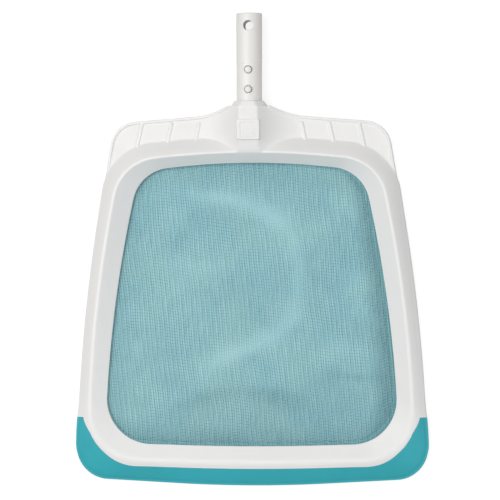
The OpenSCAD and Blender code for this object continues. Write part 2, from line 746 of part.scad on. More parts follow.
flange_r = button_d / 2 + 1.25;
flange_top = sqrt(pow(tube_bore / 2, 2) - pow(flange_r, 2)) - gap;    // the flange's rim clears the bore
flange_t = 1.6;
clip_out = flange_top - flange_t - 0.05;       // outer face of a clip's leg
stem_d = 3;
head_top = tube_foot_r + button_out;
dome_h = 1.1;

// A button standing on the tube's axis, its head towards +Z
module button() {
    rotate_extrude($fn = fine) polygon(concat(
        [[0, clip_out - clip_t - 1], [stem_d / 2 + 0.8, clip_out - clip_t - 1],
         [stem_d / 2 + 0.8, clip_out - clip_t - 0.05], [stem_d / 2, clip_out - clip_t - 0.05],
         [stem_d / 2, flange_top - flange_t], [flange_r, flange_top - flange_t], [flange_r, flange_top],
         [button_d / 2, flange_top]],
        [for (a = [0:15:90]) [button_d / 2 - dome_h + dome_h * cos(a), head_top - dome_h + dome_h * sin(a)]],
        [[0, head_top]]));
}

module place_button(k, front) {
    color(PLASTIC) translate([0, button_y(k), axis_z]) rotate([0, front ? 0 : 180, 0]) button();
}

module upper_front_button() { place_button(1, true); }
module upper_rear_button() { place_button(1, false); }
module lower_front_button() { place_button(0, true); }
module lower_rear_button() { place_button(0, false); }

// One face of a hairpin of radius r round the origin, with legs towards -X
function hairpin(r, leg) = concat([[-leg, r]], [for (a = [90:-7.5:-90]) r * [cos(a), sin(a)]], [[-leg, -r]]);

// A bent strip with two legs that point towards -Y from a bend at the origin
module clip(leg) {
    tail = leg + 4.5;
    difference() {
        rotate([90, 0, 90]) translate([0, 0, -clip_w / 2]) linear_extrude(clip_w)
            polygon(concat(hairpin(clip_out, tail), backwards(hairpin(clip_out - clip_t, tail))));
        translate([0, -leg, -clip_out - 1]) cylinder(h = 2 * clip_out + 2, d = stem_d + 0.2, $fn = 24);
    }
}

module upper_clip() {
    color(STEEL) translate([0, button_y(1) + clip_leg, axis_z]) clip(clip_leg);
}
module lower_clip() {
    color(STEEL) translate([0, button_y(0) - clip_leg, axis_z]) mirror([0, 1, 0]) clip(clip_leg);
}

// ---- net, hem, cord and retainers ----

function hem_section() =
    [[-hem_show, hem_top - hem_t], [-hem_show, hem_top], [pocket_in, hem_top], [pocket_in, hem_floor + hem_t],
     [pocket_out, hem_floor + hem_t], [pocket_out, cord_z + hem_cord_d / 2 - 0.4],
     [hem_out, cord_z + hem_cord_d / 2 - 0.4], [hem_out, hem_floor], [hem_in, hem_floor],
     [hem_in, hem_top - hem_t]];

module net_hem() {
    color(CLOTH) loft([for (st = stations) at_all(st, hem_section())], closed = true);
}

module hem_cord() {
    section = [for (a = [0:45:315]) [cord_u - hem_cord_d / 2 * cos(a), cord_z + hem_cord_d / 2 * sin(a)]];
    color("white") loft([for (st = stations) at_all(st, section)], closed = true);
}

strip_section = [
    [0.4, strip_bottom], [0.4, strip_top], [leg_in, strip_top], [leg_in, hook_high],
    [leg_out, hook_high], [hook_out, hook_low + 0.3], [hook_out, hook_low], [leg_out, hook_low],
    [leg_out, strip_bottom]
];

// A retainer strip between two places round the mouth
module retainer(from, to) {
    clear = 0.06;
    places = concat([from + clear], [for (s = [floor(from) + 1:ceil(to) - 1]) s], [to - clear]);
    color(PLASTIC)
        loft([for (s = places) at_all(station(s), strip_section)],
             cap = [[0, 1, 2], [0, 2, 8], [2, 3, 4], [2, 4, 7], [4, 5, 6], [4, 6, 7], [2, 7, 8]]);
}

module retainer_top_right() { retainer(TOP_MIDDLE, TOP_RIGHT); }
module retainer_right() { retainer(TOP_RIGHT, BOTTOM_RIGHT); }
module retainer_bottom_right() { retainer(BOTTOM_RIGHT, BOTTOM_MIDDLE); }
module retainer_bottom_left() { retainer(BOTTOM_MIDDLE, BOTTOM_LEFT); }
module retainer_left() { retainer(BOTTOM_LEFT, TOP_LEFT); }
module retainer_top_left() { retainer(TOP_LEFT, TOP_MIDDLE + COUNT); }

// The net's edge lies a little outside the mouth's; each side is followed by its length
net_over = wall - 0.3;
net_edge = [for (s = [0:COUNT - 1]) at(stations[s], net_over, 0)];

function lengths(points) =
    [for (i = 0, s = 0; i < len(points); s = s + (i + 1 < len(points) ? norm(points[i + 1] - points[i]) : 0), i = i + 1) s];
function track(points) =
    let (l = lengths(points), whole = l[len(l) - 1])
    [[for (i = [0:len(l) - 1]) [l[i] / whole, points[i][0]]], [for (i = [0:len(l) - 1]) [l[i] / whole, points[i][1]]]];
function on_track(tr, t) = [lookup(t, tr[0]), lookup(t, tr[1])];
function edge_run(from, to) = [for (s = [from:to]) net_edge[s % COUNT]];
function backwards(points) = [for (i = [len(points) - 1:-1:0]) points[i]];

side_top = track(edge_run(TOP_LEFT, TOP_RIGHT + COUNT));
side_right = track(backwards(edge_run(TOP_RIGHT, BOTTOM_RIGHT)));
side_bottom = track(backwards(edge_run(BOTTOM_RIGHT, BOTTOM_LEFT)));
side_left = track(edge_run(BOTTOM_LEFT, TOP_LEFT));

// The place on the net at shares u across and v up, blended from its four sides
function net_place(u, v) =
    mix(on_track(side_bottom, u), on_track(side_top, u), v)
    + mix(on_track(side_left, v), on_track(side_right, v), u)
    - mix(mix(on_track(side_bottom, 0), on_track(side_bottom, 1), u),
          mix(on_track(side_top, 0), on_track(side_top, 1), u), v);

// Soft folds: [height, width, points along the fold]
folds = [
    [3.6, 15, [[-80, 70], [-28, 58], [14, 46], [44, 20], [54, -18], [54, -50], [46, -84], [6, -112], [-60, -140]]],
    [1.8, 14, [[-122, -23], [-40, -18], [38, -8]]],
    [2.2, 12, [[-84, -184], [-54, -168], [0, -160], [56, -174]]],
    [1.6, 12, [[74, -134], [112, -162]]]
];
function away(p, a, b) =
    let (t = clamp01((p - a) * (b - a) / ((b - a) * (b - a)))) norm(p - a - (b - a) * t);
function fold_lift(p, f) =
    let (d = min([for (i = [0:len(f[2]) - 2]) away(p, f[2][i], f[2][i + 1])]))
    f[0] * exp(-pow(d / f[1], 2));
function net_height(u, v, p) =
    let (
        inside = min(u, 1 - u, v, 1 - v) * mouth_len,
        loose = smooth((inside - hem_show - 6) / 30)
    )
    net_z + loose * (max([for (f = folds) fold_lift(p, f)]) - net_sag);

// Both edges of every cord of the net, as shares of its width or length
function cord_lines(gaps, size) =
    [for (k = [0:gaps], s = [0, 1])
        mix(0, 1 - net_cord_w / size, k / gaps) + s * net_cord_w / size];

module net() {
    us = cord_lines(net_gaps[0], mouth_mid_w);
    vs = cord_lines(net_gaps[1], mouth_len);
    nu = len(us);
    nv = len(vs);
    size = nu * nv;
    function v(i, j, k) = k * size + j * nu + i;
    function cord(i, j) = i % 2 == 0 || j % 2 == 0;
    places = [for (j = [0:nv - 1], i = [0:nu - 1]) let (p = net_place(us[i], vs[j]))
        [p[0], p[1], net_height(us[i], vs[j], p)]];
    points = concat([for (p = places) p - [0, 0, net_t / 2]], [for (p = places) p + [0, 0, net_t / 2]]);
    sheets = [for (j = [0:nv - 2], i = [0:nu - 2]) if (cord(i, j)) each [
        [v(i, j, 0), v(i + 1, j, 0), v(i + 1, j + 1, 0)], [v(i, j, 0), v(i + 1, j + 1, 0), v(i, j + 1, 0)],
        [v(i, j, 1), v(i + 1, j + 1, 1), v(i + 1, j, 1)], [v(i, j, 1), v(i, j + 1, 1), v(i + 1, j + 1, 1)]]];
    // walls along X: towards -Y where the cell above the line is cord and the one below isn't
    function solid(i, j) = i >= 0 && j >= 0 && i < nu - 1 && j < nv - 1 && cord(i, j);
    walls_x = [for (j = [0:nv - 1], i = [0:nu - 2])
        if (solid(i, j) != solid(i, j - 1)) each
            solid(i, j)
            ? [[v(i, j, 0), v(i, j, 1), v(i + 1, j, 1)], [v(i, j, 0), v(i + 1, j, 1), v(i + 1, j, 0)]]
            : [[v(i, j, 0), v(i + 1, j, 1), v(i, j, 1)], [v(i, j, 0), v(i + 1, j, 0), v(i + 1, j, 1)]]];
    walls_y = [for (j = [0:nv - 2], i = [0:nu - 1])
        if (solid(i, j) != solid(i - 1, j)) each
            solid(i, j)
            ? [[v(i, j, 0), v(i, j + 1, 1), v(i, j, 1)], [v(i, j, 0), v(i, j + 1, 0), v(i, j + 1, 1)]]
            : [[v(i, j, 0), v(i, j, 1), v(i, j + 1, 1)], [v(i, j, 0), v(i, j + 1, 1), v(i, j + 1, 0)]]];
    color(CLOTH) polyhedron(points = points, faces = concat(sheets, walls_x, walls_y), convexity = 20);
}

frame_shell();
yoke_cover();
cover_screws();
tube_screws();
handle_tube();
scoop_lip();
net();
net_hem();
hem_cord();
retainer_top_left();
retainer_top_right();
retainer_left();
retainer_right();
retainer_bottom_left();
retainer_bottom_right();
upper_clip();
lower_clip();
upper_front_button();
upper_rear_button();
lower_front_button();
lower_rear_button();
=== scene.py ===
"""A flat leaf skimmer that lies on its back: ring frame with wings and yoke, scoop lip, slack net,
hem, cord and strips, and the tube with its lock buttons. Shapes are worked out in millimetres."""
import math

import bmesh
import bpy
import numpy as np
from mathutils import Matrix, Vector


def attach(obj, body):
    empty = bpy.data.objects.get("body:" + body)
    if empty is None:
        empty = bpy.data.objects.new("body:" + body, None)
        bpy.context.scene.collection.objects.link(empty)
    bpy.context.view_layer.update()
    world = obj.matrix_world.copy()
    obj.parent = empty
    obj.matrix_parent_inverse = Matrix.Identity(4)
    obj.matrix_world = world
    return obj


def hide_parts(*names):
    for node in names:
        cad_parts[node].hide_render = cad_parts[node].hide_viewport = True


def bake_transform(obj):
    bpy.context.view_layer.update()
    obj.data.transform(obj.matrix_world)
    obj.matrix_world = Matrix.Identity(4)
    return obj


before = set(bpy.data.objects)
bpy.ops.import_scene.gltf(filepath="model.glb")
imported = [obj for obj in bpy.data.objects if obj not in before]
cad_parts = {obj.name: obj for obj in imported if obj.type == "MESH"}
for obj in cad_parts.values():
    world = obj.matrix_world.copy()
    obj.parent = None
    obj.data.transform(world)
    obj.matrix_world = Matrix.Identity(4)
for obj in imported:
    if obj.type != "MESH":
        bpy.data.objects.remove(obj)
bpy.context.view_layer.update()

MM = 0.001
WHITE = (0.865, 0.865, 0.86, 1)
TUBE_WHITE = (0.865, 0.85, 0.83, 1)

# ---------------------------------------------------------------- camera, light and floor

def put(name, data):
    """A new object in the scene."""
    made = bpy.data.objects.new(name, data)
    bpy.context.scene.collection.objects.link(made)
    return made


camera = put("camera", bpy.data.cameras.new("camera"))
camera.location = (0.3983, -0.001, 4.0)
camera.rotation_euler = (0, math.atan2(0.4, 4.0), math.radians(-0.15))  # aimed at (-0.0017, -0.001, 0), +Y up
camera.data.sensor_width = 36
camera.data.lens = 260
camera.data.clip_end = 50
bpy.context.scene.camera = camera
bpy.context.scene.view_settings.view_transform = "Standard"


def soft_box(name, place, power, colour):
    """A square light one metre wide, aimed at the middle of the object."""
    light = put(name, bpy.data.lights.new(name, "AREA"))
    light.location = place
    light.rotation_euler = (Vector() - light.location).to_track_quat("-Z", "Y").to_euler()
    light.data.size = 1.0
    light.data.energy = power
    light.data.color = colour


soft_box("key_box", (-0.6, 0.5, 1.9), 11.9, (1.0, 0.985, 0.97))
soft_box("right_box", (1.1, -0.5, 1.5), 6.9, (0.98, 0.985, 1.0))
soft_box("left_box", (-1.2, 0, 1.4), 6.6, (1.0, 0.985, 0.975))


# ---------------------------------------------------------------- material building

class Nodes:
    """Short hand for a node tree: add() makes a node, sets its properties and gives its inputs."""

    def __init__(self, tree):
        self.tree = tree
        tree.nodes.clear()

    def give(self, socket, value):
        """Link an input to another node's socket, or set it to a plain value."""
        if isinstance(value, bpy.types.NodeSocket):
            self.tree.links.new(value, socket)
        else:
            socket.default_value = value

    def add(self, kind, inputs=None, **settings):
        node = self.tree.nodes.new(kind)
        for key, value in settings.items():
            setattr(node, key, value)
        for key, value in (inputs or {}).items():
            self.give(node.inputs[key], value)
        return node

    def math(self, operation, *values):
        return self.add("ShaderNodeMath", dict(enumerate(values)), operation=operation).outputs[0]

    def plus(self, a, b):
        return self.math("ADD", a, b)

    def less(self, a, b):
        return self.math("SUBTRACT", a, b)

    def times(self, a, b):
        return self.math("MULTIPLY", a, b)

    def positive(self, value):
        """The value where it is above zero, and zero elsewhere."""
        return self.math("MAXIMUM", value, 0.0)

    def mix(self, share, a, b, blend="MIX"):
        """Colour a turned into b by share."""
        node = self.add("ShaderNodeMix", data_type="RGBA", blend_type=blend)
        for key, value in (("Factor", share), ("A", a), ("B", b)):
            self.give([s for s in node.inputs if s.name == key and s.enabled][0], value)
        return [s for s in node.outputs if s.enabled][0]

    def tint(self, colour, by):
        return self.mix(1.0, colour, by, "MULTIPLY")

    def noise(self, vector, scale, detail, rough=0.5):
        return self.add("ShaderNodeTexNoise", {
            "Vector": vector, "Scale": scale, "Detail": detail, "Roughness": rough}).outputs[0]

    def step(self, value, low, high, a=0.0, b=1.0):
        """value mapped from low..high to a..b, smoothly and held at the ends."""
        return self.add("ShaderNodeMapRange", {"Value": value, 1: low, 2: high, 3: a, 4: b},
                        interpolation_type="SMOOTHSTEP").outputs[0]

    def own_place(self):
        """Coordinates on the piece itself."""
        return self.add("ShaderNodeTexCoord").outputs["Object"]

    def scaled(self, vector, scale):
        return self.add("ShaderNodeMapping", {"Vector": vector, "Scale": scale}).outputs[0]

    def attribute(self, name):
        return self.add("ShaderNodeAttribute", attribute_name=name).outputs["Fac"]

    def for_the_eye(self):
        """1 for rays that are seen, straight or through gloss or glass, and 0 for those that light things."""
        path = self.add("ShaderNodeLightPath").outputs
        bent = self.plus(path["Is Glossy Ray"], path["Is Transmission Ray"])
        return self.math("MINIMUM", 1.0, self.plus(path["Is Camera Ray"], bent))


def node_group(name, inputs, outputs):
    """An empty shader group with (name, kind, default) inputs and (name, kind) outputs."""
    tree = bpy.data.node_groups.new(name, "ShaderNodeTree")
    kinds = {"value": "NodeSocketFloat", "colour": "NodeSocketColor", "vector": "NodeSocketVector"}
    n = Nodes(tree)
    for label, kind, default in inputs:
        socket = tree.interface.new_socket(label, in_out="INPUT", socket_type=kinds[kind])
        if default is not None:
            socket.default_value = default
    for label, kind in outputs:
        tree.interface.new_socket(label, in_out="OUTPUT", socket_type=kinds[kind])
    return tree, n, n.add("NodeGroupInput").outputs


def moulded_group():
    """Moulded plastic: slow colour drift, fine spark-eroded grain, handling marks and polished edges."""
    tree, n, given = node_group("moulded_finish", [
        ("Place", "vector", None), ("Colour", "colour", (1, 1, 1, 1)), ("Worn Colour", "colour", (1, 1, 1, 1)),
        ("Wear", "value", 0.0), ("Drift", "value", 0.03), ("Grain Scale", "value", 1500.0),
        ("Roughness", "value", 0.4)], [("Colour", "colour"), ("Roughness", "value"), ("Height", "value")])
    place, wear = given["Place"], given["Wear"]
    slow = n.noise(place, 9.0, 4.0)
    cloudy = n.noise(place, 45.0, 3.0)
    grain = n.noise(place, given["Grain Scale"], 2.0, 0.6)
    marks = n.step(n.noise(place, 160.0, 5.0, 0.65), 0.62, 0.74)
    stained = n.plus(n.step(slow, 0.35, 0.7, 0, 2.2), n.step(cloudy, 0.4, 0.7, 0, 1.2))
    dark = n.tint(given["Colour"], (0.8, 0.79, 0.77, 1))
    colour = n.mix(n.times(given["Drift"], stained), given["Colour"], dark)
    worn = n.times(wear, n.step(cloudy, 0.3, 0.6, 0.35, 1.0))
    colour = n.mix(worn, colour, given["Worn Colour"])
    rough = n.plus(given["Roughness"], n.times(n.step(cloudy, 0.3, 0.7), 0.07))
    rough = n.less(n.plus(rough, n.times(marks, 0.06)), n.times(worn, 0.12))
    height = n.less(n.times(grain, n.less(1.0, n.times(wear, 0.7))), n.times(marks, 0.25))
    n.add("NodeGroupOutput", {"Colour": colour, "Roughness": rough, "Height": height})
    return tree


def weave_group():
    """Woven net over flat cloth coordinates in metres: threads cross a little askew and alternate over and under,
    every second thread is heavier, their weight drifts from place to place, and holes stay open between them.
    Pitch is the distance between two heavy threads."""
    tree, n, given = node_group("net_threads", [
        ("Cloth", "vector", None), ("Pitch", "value", 0.00267), ("Streaks", "value", 0.5), ("Open", "value", 0.2)],
        [("Height", "value"), ("Cover", "value"), ("Streak", "value")])
    x, y = n.add("ShaderNodeSeparateXYZ", {0: given["Cloth"]}).outputs[:2]
    waver = n.times(n.noise(given["Cloth"], 40.0, 2.0), 3.0)
    turn = n.math("DIVIDE", 2 * math.pi, given["Pitch"])
    column = n.plus(x, n.times(y, 0.1))
    row = n.plus(y, n.times(x, 0.12))
    across = n.plus(n.times(column, turn), waver)
    along = n.plus(n.times(row, n.times(turn, 0.8)), waver)
    heavy_warp, heavy_weft = n.math("SINE", across), n.math("SINE", along)
    lift = n.times(n.times(n.math("COSINE", across), n.math("COSINE", along)), 0.25)
    warp = n.plus(n.math("ABSOLUTE", heavy_warp), n.times(heavy_warp, 0.2))
    weft = n.plus(n.math("ABSOLUTE", heavy_weft), n.times(heavy_weft, 0.2))
    height = n.math("MAXIMUM", n.times(warp, n.plus(1.0, lift)), n.times(weft, n.less(1.0, lift)))
    thick = n.step(n.noise(n.scaled(given["Cloth"], (560.0, 40.0, 1.0)), 1.0, 2.0, 0.6), 0.3, 0.7, -1.0, 1.0)
    firm = n.step(n.noise(given["Cloth"], 32.0, 3.0, 0.6), 0.34, 0.66, 0.35, 1.15)
    second = n.math("COSINE", n.times(across, 0.5))
    streak = n.plus(n.times(heavy_warp, 0.8), n.times(heavy_weft, 0.3))
    streak = n.plus(n.times(streak, firm), n.times(second, 0.25))
    streak = n.times(n.plus(streak, n.times(thick, 0.35)), given["Streaks"])
    cover = n.step(height, n.less(given["Open"], 0.12), n.plus(given["Open"], 0.12))
    n.add("NodeGroupOutput", {"Height": height, "Cover": cover, "Streak": streak})
    return tree


MOULDED = moulded_group()
WEAVE = weave_group()


def new_material(name):
    material = bpy.data.materials.new(name)
    material.use_nodes = True
    return material, Nodes(material.node_tree)


def finish_material(n, colour, roughness, height, bump, depth=0.0001, **own):
    """The Principled shader over a bump, with its plain numbers on its own sockets."""
    normal = n.add("ShaderNodeBump", {"Height": height, "Strength": bump, "Distance": depth}).outputs[0]
    shader = n.add("ShaderNodeBsdfPrincipled", {"Base Color": colour, "Roughness": roughness, "Normal": normal, **own})
    n.add("ShaderNodeOutputMaterial", {"Surface": shader.outputs[0]})


def plastic(name, colour, worn, roughness, drift=0.03, grain=1500.0, bump=0.12, stretch=(1, 1, 1), **own):
    """A moulded or drawn plastic; stretch draws its marks out along one axis."""
    material, n = new_material(name)
    made = n.add("ShaderNodeGroup", {
        "Place": n.scaled(n.own_place(), stretch), "Colour": colour, "Worn Colour": worn, "Wear": n.attribute("wear"),
        "Drift": drift, "Grain Scale": grain, "Roughness": roughness}, node_tree=MOULDED).outputs
    finish_material(n, made["Colour"], made["Roughness"], made["Height"], bump, **own)
    return material


def cloth(name, colour, shade, opening, see_through, pitch=0.00267, streaks=1.25):
    """Woven cloth read from the piece's own cloth map; its attribute of painted light and shade, with a faint random
    tone, lightens it above zero and darkens it below."""
    material, n = new_material(name)
    woven = n.add("ShaderNodeGroup", {
        "Cloth": n.add("ShaderNodeUVMap", uv_map="cloth").outputs[0], "Pitch": pitch, "Streaks": streaks,
        "Open": opening}, node_tree=WEAVE).outputs
    patch = n.noise(n.own_place(), 14.0, 4.0, 0.6)
    base = n.mix(n.step(patch, 0.35, 0.68), colour, shade)
    light = n.tint(base, (1.48, 1.3, 1.29, 1))
    dark = n.tint(base, (0.62, 0.7, 0.72, 1))
    painted_light_and_tone = n.attribute("painted_light_and_tone")
    # painted light above zero and painted shade below it, each with a faint random tone
    painted_light_above, painted_shade_below = n.positive(painted_light_and_tone), n.positive(n.times(painted_light_and_tone, -0.553))
    streak = n.times(woven["Streak"], n.plus(1.0, n.times(painted_light_above, 0.7)))
    # the streaks are the threads' own tone; the last mix is painted light
    for share, tone in ((n.positive(streak), light), (n.positive(n.times(streak, -1.0)), dark), (painted_light_above, light)):
        base = n.mix(n.times(share, 0.8), base, tone)
    # painted shade: a deep tint where the attribute is below zero
    base = n.mix(painted_shade_below, base, n.tint(base, (0.45, 0.57, 0.59, 1)))
    # painted shade: darker where the weave dips between its threads
    base = n.mix(n.step(woven["Height"], 0.95, 0.4, 0.0, 0.45), base, dark)
    rough = n.step(woven["Height"], 0.3, 1.0, 0.85, 0.6)
    holes = {"Alpha": woven["Cover"]} if see_through else {}
    finish_material(n, base, rough, woven["Height"], 0.55, 0.0002, **{"Specular IOR Level": 0.3, **holes})
    return material


def metal(name, colour, roughness, stretch):
    """Bare metal with fine drawn lines and faint tarnish."""
    material, n = new_material(name)
    place = n.own_place()
    lines = n.noise(n.scaled(place, stretch), 1.0, 3.0, 0.6)
    stain = n.noise(place, 120.0, 4.0, 0.6)
    base = n.mix(n.step(stain, 0.45, 0.75, 0.0, 0.6), colour, n.tint(colour, (0.72, 0.7, 0.66, 1)))
    rough = n.plus(roughness, n.times(lines, 0.18))
    finish_material(n, base, rough, lines, 0.15, 0.00005, Metallic=1.0)
    return material


white_plastic = plastic("white_moulding", WHITE, (0.9, 0.9, 0.895, 1), 0.42, drift=0.035)
inner_plastic = plastic("white_strip", (0.84, 0.84, 0.825, 1), (0.88, 0.88, 0.87, 1), 0.52, drift=0.06, grain=900.0)
tube_plastic = plastic("white_tube", TUBE_WHITE, (0.9, 0.89, 0.87, 1), 0.34, drift=0.05, stretch=(1, 0.12, 1), bump=0.1)
button_plastic = plastic("white_button", (0.84, 0.83, 0.81, 1), (0.9, 0.9, 0.88, 1), 0.36, drift=0.08)
pad_plastic = plastic("white_pad", WHITE, (0.9, 0.9, 0.895, 1), 0.5, drift=0.04, grain=1000.0, bump=0.3)
teal_rubber = plastic("teal_elastomer", (0.03, 0.42, 0.49, 1), (0.05, 0.48, 0.55, 1), 0.5, drift=0.15, grain=1100.0,
                      bump=0.2, **{"Specular IOR Level": 0.4})
cord_plastic = plastic("white_cord", (0.78, 0.8, 0.8, 1), (0.85, 0.86, 0.86, 1), 0.55, drift=0.1)
thread = plastic("sewing_thread", (0.24, 0.46, 0.5, 1), (0.34, 0.56, 0.6, 1), 0.7, drift=0.2, grain=2500.0, bump=0.5)
net_cloth = cloth("net_weave", (0.25, 0.515, 0.545, 1), (0.205, 0.465, 0.53, 1), 0.36, True)
# the hem is darker than the net: its doubled cloth, and partly painted shade from the rim above it
hem_cloth = cloth("hem_weave", (0.185, 0.41, 0.44, 1), (0.16, 0.38, 0.42, 1), 0.2, False)
screw_steel = metal("stainless_screw", (0.62, 0.62, 0.64, 1), 0.3, (900, 900, 200))
spring_steel = metal("spring_strip", (0.5, 0.51, 0.54, 1), 0.28, (1500, 120, 1500))


def floor_and_world():
    """White floor that keeps the object's shadow, and a white world for the eye alone."""
    material, n = new_material("white_floor")
    plain = n.add("ShaderNodeBsdfDiffuse", {"Color": (0.35, 0.35, 0.35, 1)})
    glow = n.add("ShaderNodeEmission", {"Color": (1, 1, 1, 1), "Strength": n.times(n.for_the_eye(), 0.78)})
    both = n.add("ShaderNodeAddShader", {0: plain.outputs[0], 1: glow.outputs[0]})
    n.add("ShaderNodeOutputMaterial", {"Surface": both.outputs[0]})
    mesh = bpy.data.meshes.new("floor")
    mesh.from_pydata([(-4, -4, 0), (4, -4, 0), (4, 4, 0), (-4, 4, 0)], [], [(0, 1, 2, 3)])
    mesh.materials.append(material)
    put("floor", mesh)
    world = bpy.data.worlds.new("world")
    world.use_nodes = True
    bpy.context.scene.world = world
    n = Nodes(world.node_tree)
    strength = n.plus(0.41, n.times(n.for_the_eye(), 0.59))
    light = n.add("ShaderNodeBackground", {"Color": (1, 1, 1, 1), "Strength": strength})
    n.add("ShaderNodeOutputWorld", {"Surface": light.outputs[0]})


floor_and_world()


# ---------------------------------------------------------------- meshes from grids of points

def grid_faces(columns, rows, loop_columns, loop_rows):
    """Quads between neighbours of a grid of points, as point numbers."""
    i = np.arange(columns if loop_columns else columns - 1)[:, None]
    j = np.arange(rows if loop_rows else rows - 1)[None, :]
    a, b = i * rows + j, i * rows + (j + 1) % rows
    c, d = (i + 1) % columns * rows + (j + 1) % rows, (i + 1) % columns * rows + j
    return np.stack([a, b, c, d], -1).reshape(-1, 4)


def build(name, parts, material, angle, mark=None, cloth_map=None, shell=True):
    """One object from (grid of points in mm, quads, end caps) parts: equal points are merged, and a shell's faces
    turned outwards. mark is the wear of a shell's points, or the painted light and shade, with a faint random tone,
    of a sheet's points, spread over each part's grid; cloth_map is the place of every point in the flat cloth, in
    metres."""
    points, faces, start = [], [], 0
    for grid, quads, caps in parts:
        points.append(grid.reshape(-1, 3))
        faces += (quads + start).tolist() + [[k + start for k in cap] for cap in caps]
        start += len(points[-1])
    mesh = bpy.data.meshes.new(name)
    mesh.from_pydata((np.vstack(points) * MM).tolist(), [], faces)
    if mark is not None:
        values = np.concatenate([np.broadcast_to(mark, grid.shape[:2]).ravel() for grid, _, _ in parts])
        mesh.attributes.new("wear" if shell else "painted_light_and_tone", "FLOAT", "POINT").data.foreach_set(
            "value", values.astype(np.float32))
    if cloth_map is not None:
        corners = np.empty(len(mesh.loops), np.int32)
        mesh.loops.foreach_get("vertex_index", corners)
        mesh.uv_layers.new(name="cloth").data.foreach_set(
            "uv", cloth_map.reshape(-1, 2)[corners].astype(np.float32).ravel())
    work = bmesh.new()
    work.from_mesh(mesh)
    bmesh.ops.remove_doubles(work, verts=work.verts, dist=2e-6)
    bmesh.ops.dissolve_degenerate(work, edges=work.edges, dist=1e-7)
    if shell and work.calc_volume(signed=True) < 0:
        bmesh.ops.reverse_faces(work, faces=work.faces)
    work.to_mesh(mesh)
    work.free()
    mesh.polygons.foreach_set("use_smooth", np.ones(len(mesh.polygons), bool))
    mesh.set_sharp_from_angle(angle=math.radians(angle))
    mesh.materials.append(material)
    return put(name, mesh)


def loop_part(grid, loop_rows=True, capped=False):
    """A grid of points as one part, whose columns go round in a loop unless the first and last are capped."""
    columns, rows = grid.shape[:2]
    caps = [list(range(rows - 1, -1, -1)), list(range((columns - 1) * rows, columns * rows))] if capped else []
    return grid, grid_faces(columns, rows, not capped, loop_rows), caps


def settle(piece, slot, *nodes, body="root"):
    """Hide the nodes that the piece stands for and attach it to the body that it rides on; slot, the piece's finish, is
    not used.
    """
    if nodes:
        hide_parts(*nodes)
    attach(piece, body)
    return piece


def xyz(x, y, z):
    """Grid of points from its coordinates, each spread over the whole grid."""
    return np.stack(np.broadcast_arrays(x, y, z), -1)


def circle(count):
    """Angles of even steps round a circle."""
    return np.linspace(0, 2 * np.pi, count, endpoint=False)


def mix(a, b, t):
    """a turned into b by the share t."""
    return a + (b - a) * t


def smooth(t):
    """0 to 1 as t goes from 0 to 1, level at both ends and held beyond them."""
    c = np.clip(t, 0, 1)
    return c * c * (3 - 2 * c)


def soft_max(a, b, k):
    """The larger of two heights with the corner between them rounded over about k."""
    return 0.5 * (a + b + np.sqrt((a - b) ** 2 + k * k))


def soft_min(a, b, k):
    return -soft_max(-a, -b, k)


def drift(places, waves, low, high, seed):
    """A smooth uneven field: the sum of plane waves of random direction, with lengths from low to high, over the
    root of their number."""
    rng = np.random.default_rng(seed)
    turn = rng.uniform(0, 2 * np.pi, waves)
    pace = 2 * np.pi / rng.uniform(low, high, waves)
    way = np.stack([np.cos(turn), np.sin(turn)]) * pace
    return np.sin(places[..., :2] @ way + rng.uniform(0, 2 * np.pi, waves)).sum(-1) / math.sqrt(waves)


# ---------------------------------------------------------------- outlines of the ring, in mm

WALL = 2.4                      # wall of the moulding
RIM_Z = 8.0                     # where the inner slope begins, at the mouth's rim
APEX = 1.1                      # how far the slopes would meet above the rounded ridge
RIDGE_Z = (14, 26)              # height of the ridge at the lip and at the pole end
EDGE_Z = (3.5, 10.8)            # height of the outer edge there
RING_Y, RING_LONG = -262.2, 388.32      # where the ring begins, and the length along which its heights climb
TIP_Y = -185.7                  # where the lip's ends lie
LIP_THICK, LIP_GAP = 2.6, 0.15
TABLE_STEPS = 4800
STRIDE = (4.0, 2.2)             # usual distance between sections, and the most that they turn in degrees


def outline(corners):
    """Closed outline through corners [x, y, radius, steps]: at each, the arc that touches both its sides."""
    points = np.array(corners, float)
    rows = []
    for before, v, after in zip(np.roll(points, 1, 0), points, np.roll(points, -1, 0)):
        a = (before - v)[:2] / np.linalg.norm((before - v)[:2])
        b = (after - v)[:2] / np.linalg.norm((after - v)[:2])
        half = math.acos(a @ b) / 2
        middle = v[:2] + (a + b) / np.linalg.norm(a + b) * v[2] / math.sin(half)
        start = v[:2] + a * v[2] / math.tan(half) - middle
        turn = (-1 if a[0] * b[1] - a[1] * b[0] > 0 else 1) * (math.pi - 2 * half)
        angle = math.atan2(start[1], start[0]) + turn * np.linspace(0, 1, int(v[3]) + 1)
        rows.append(middle + v[2] * np.stack([np.cos(angle), np.sin(angle)], -1))
    return np.vstack(rows)


def flipped(corners):
    """The same corners on the other side, in the opposite order."""
    return [[-x, y, radius, steps] for x, y, radius, steps in corners[::-1]]


def both_sides(right):
    """Closed outline from its corners on the right, top middle first and bottom middle last."""
    return np.roll(outline(right + flipped(right[1:-1])), -int(right[0][3] / 2), 0)


mouth = both_sides([[0, 101.9, 780, 32], [124.9, 87.9, 44, 48], [155.3, -53.1, 1380, 32], [164.5, -214.2, 50, 48],
                    [0, -219.1, 2500, 32]])
ridge = both_sides([[0, 113.7, 920, 32], [143.9, 98.0, 52, 48], [173.8, -55.3, 1400, 32], [182.3, -231.4, 55, 48],
                    [0, -236.9, 2500, 32]])
edge = both_sides([[0, 129.4, 900, 32], [158.8, 116.4, 64, 48], [186.9, -65.0, 1950, 32], [198.4, -253.1, 36, 48],
                   [0, -264.0, 1500, 32]])
wing_half = [[23.3, 159.8, 1.5, 8], [47.1, 149.4, 90, 24], [152.2, 141.2, 30, 24],
             [163.3, 76.5, 0.5, 2], [103, 36.62, 0.5, 2]]
wing = outline(wing_half + flipped(wing_half))


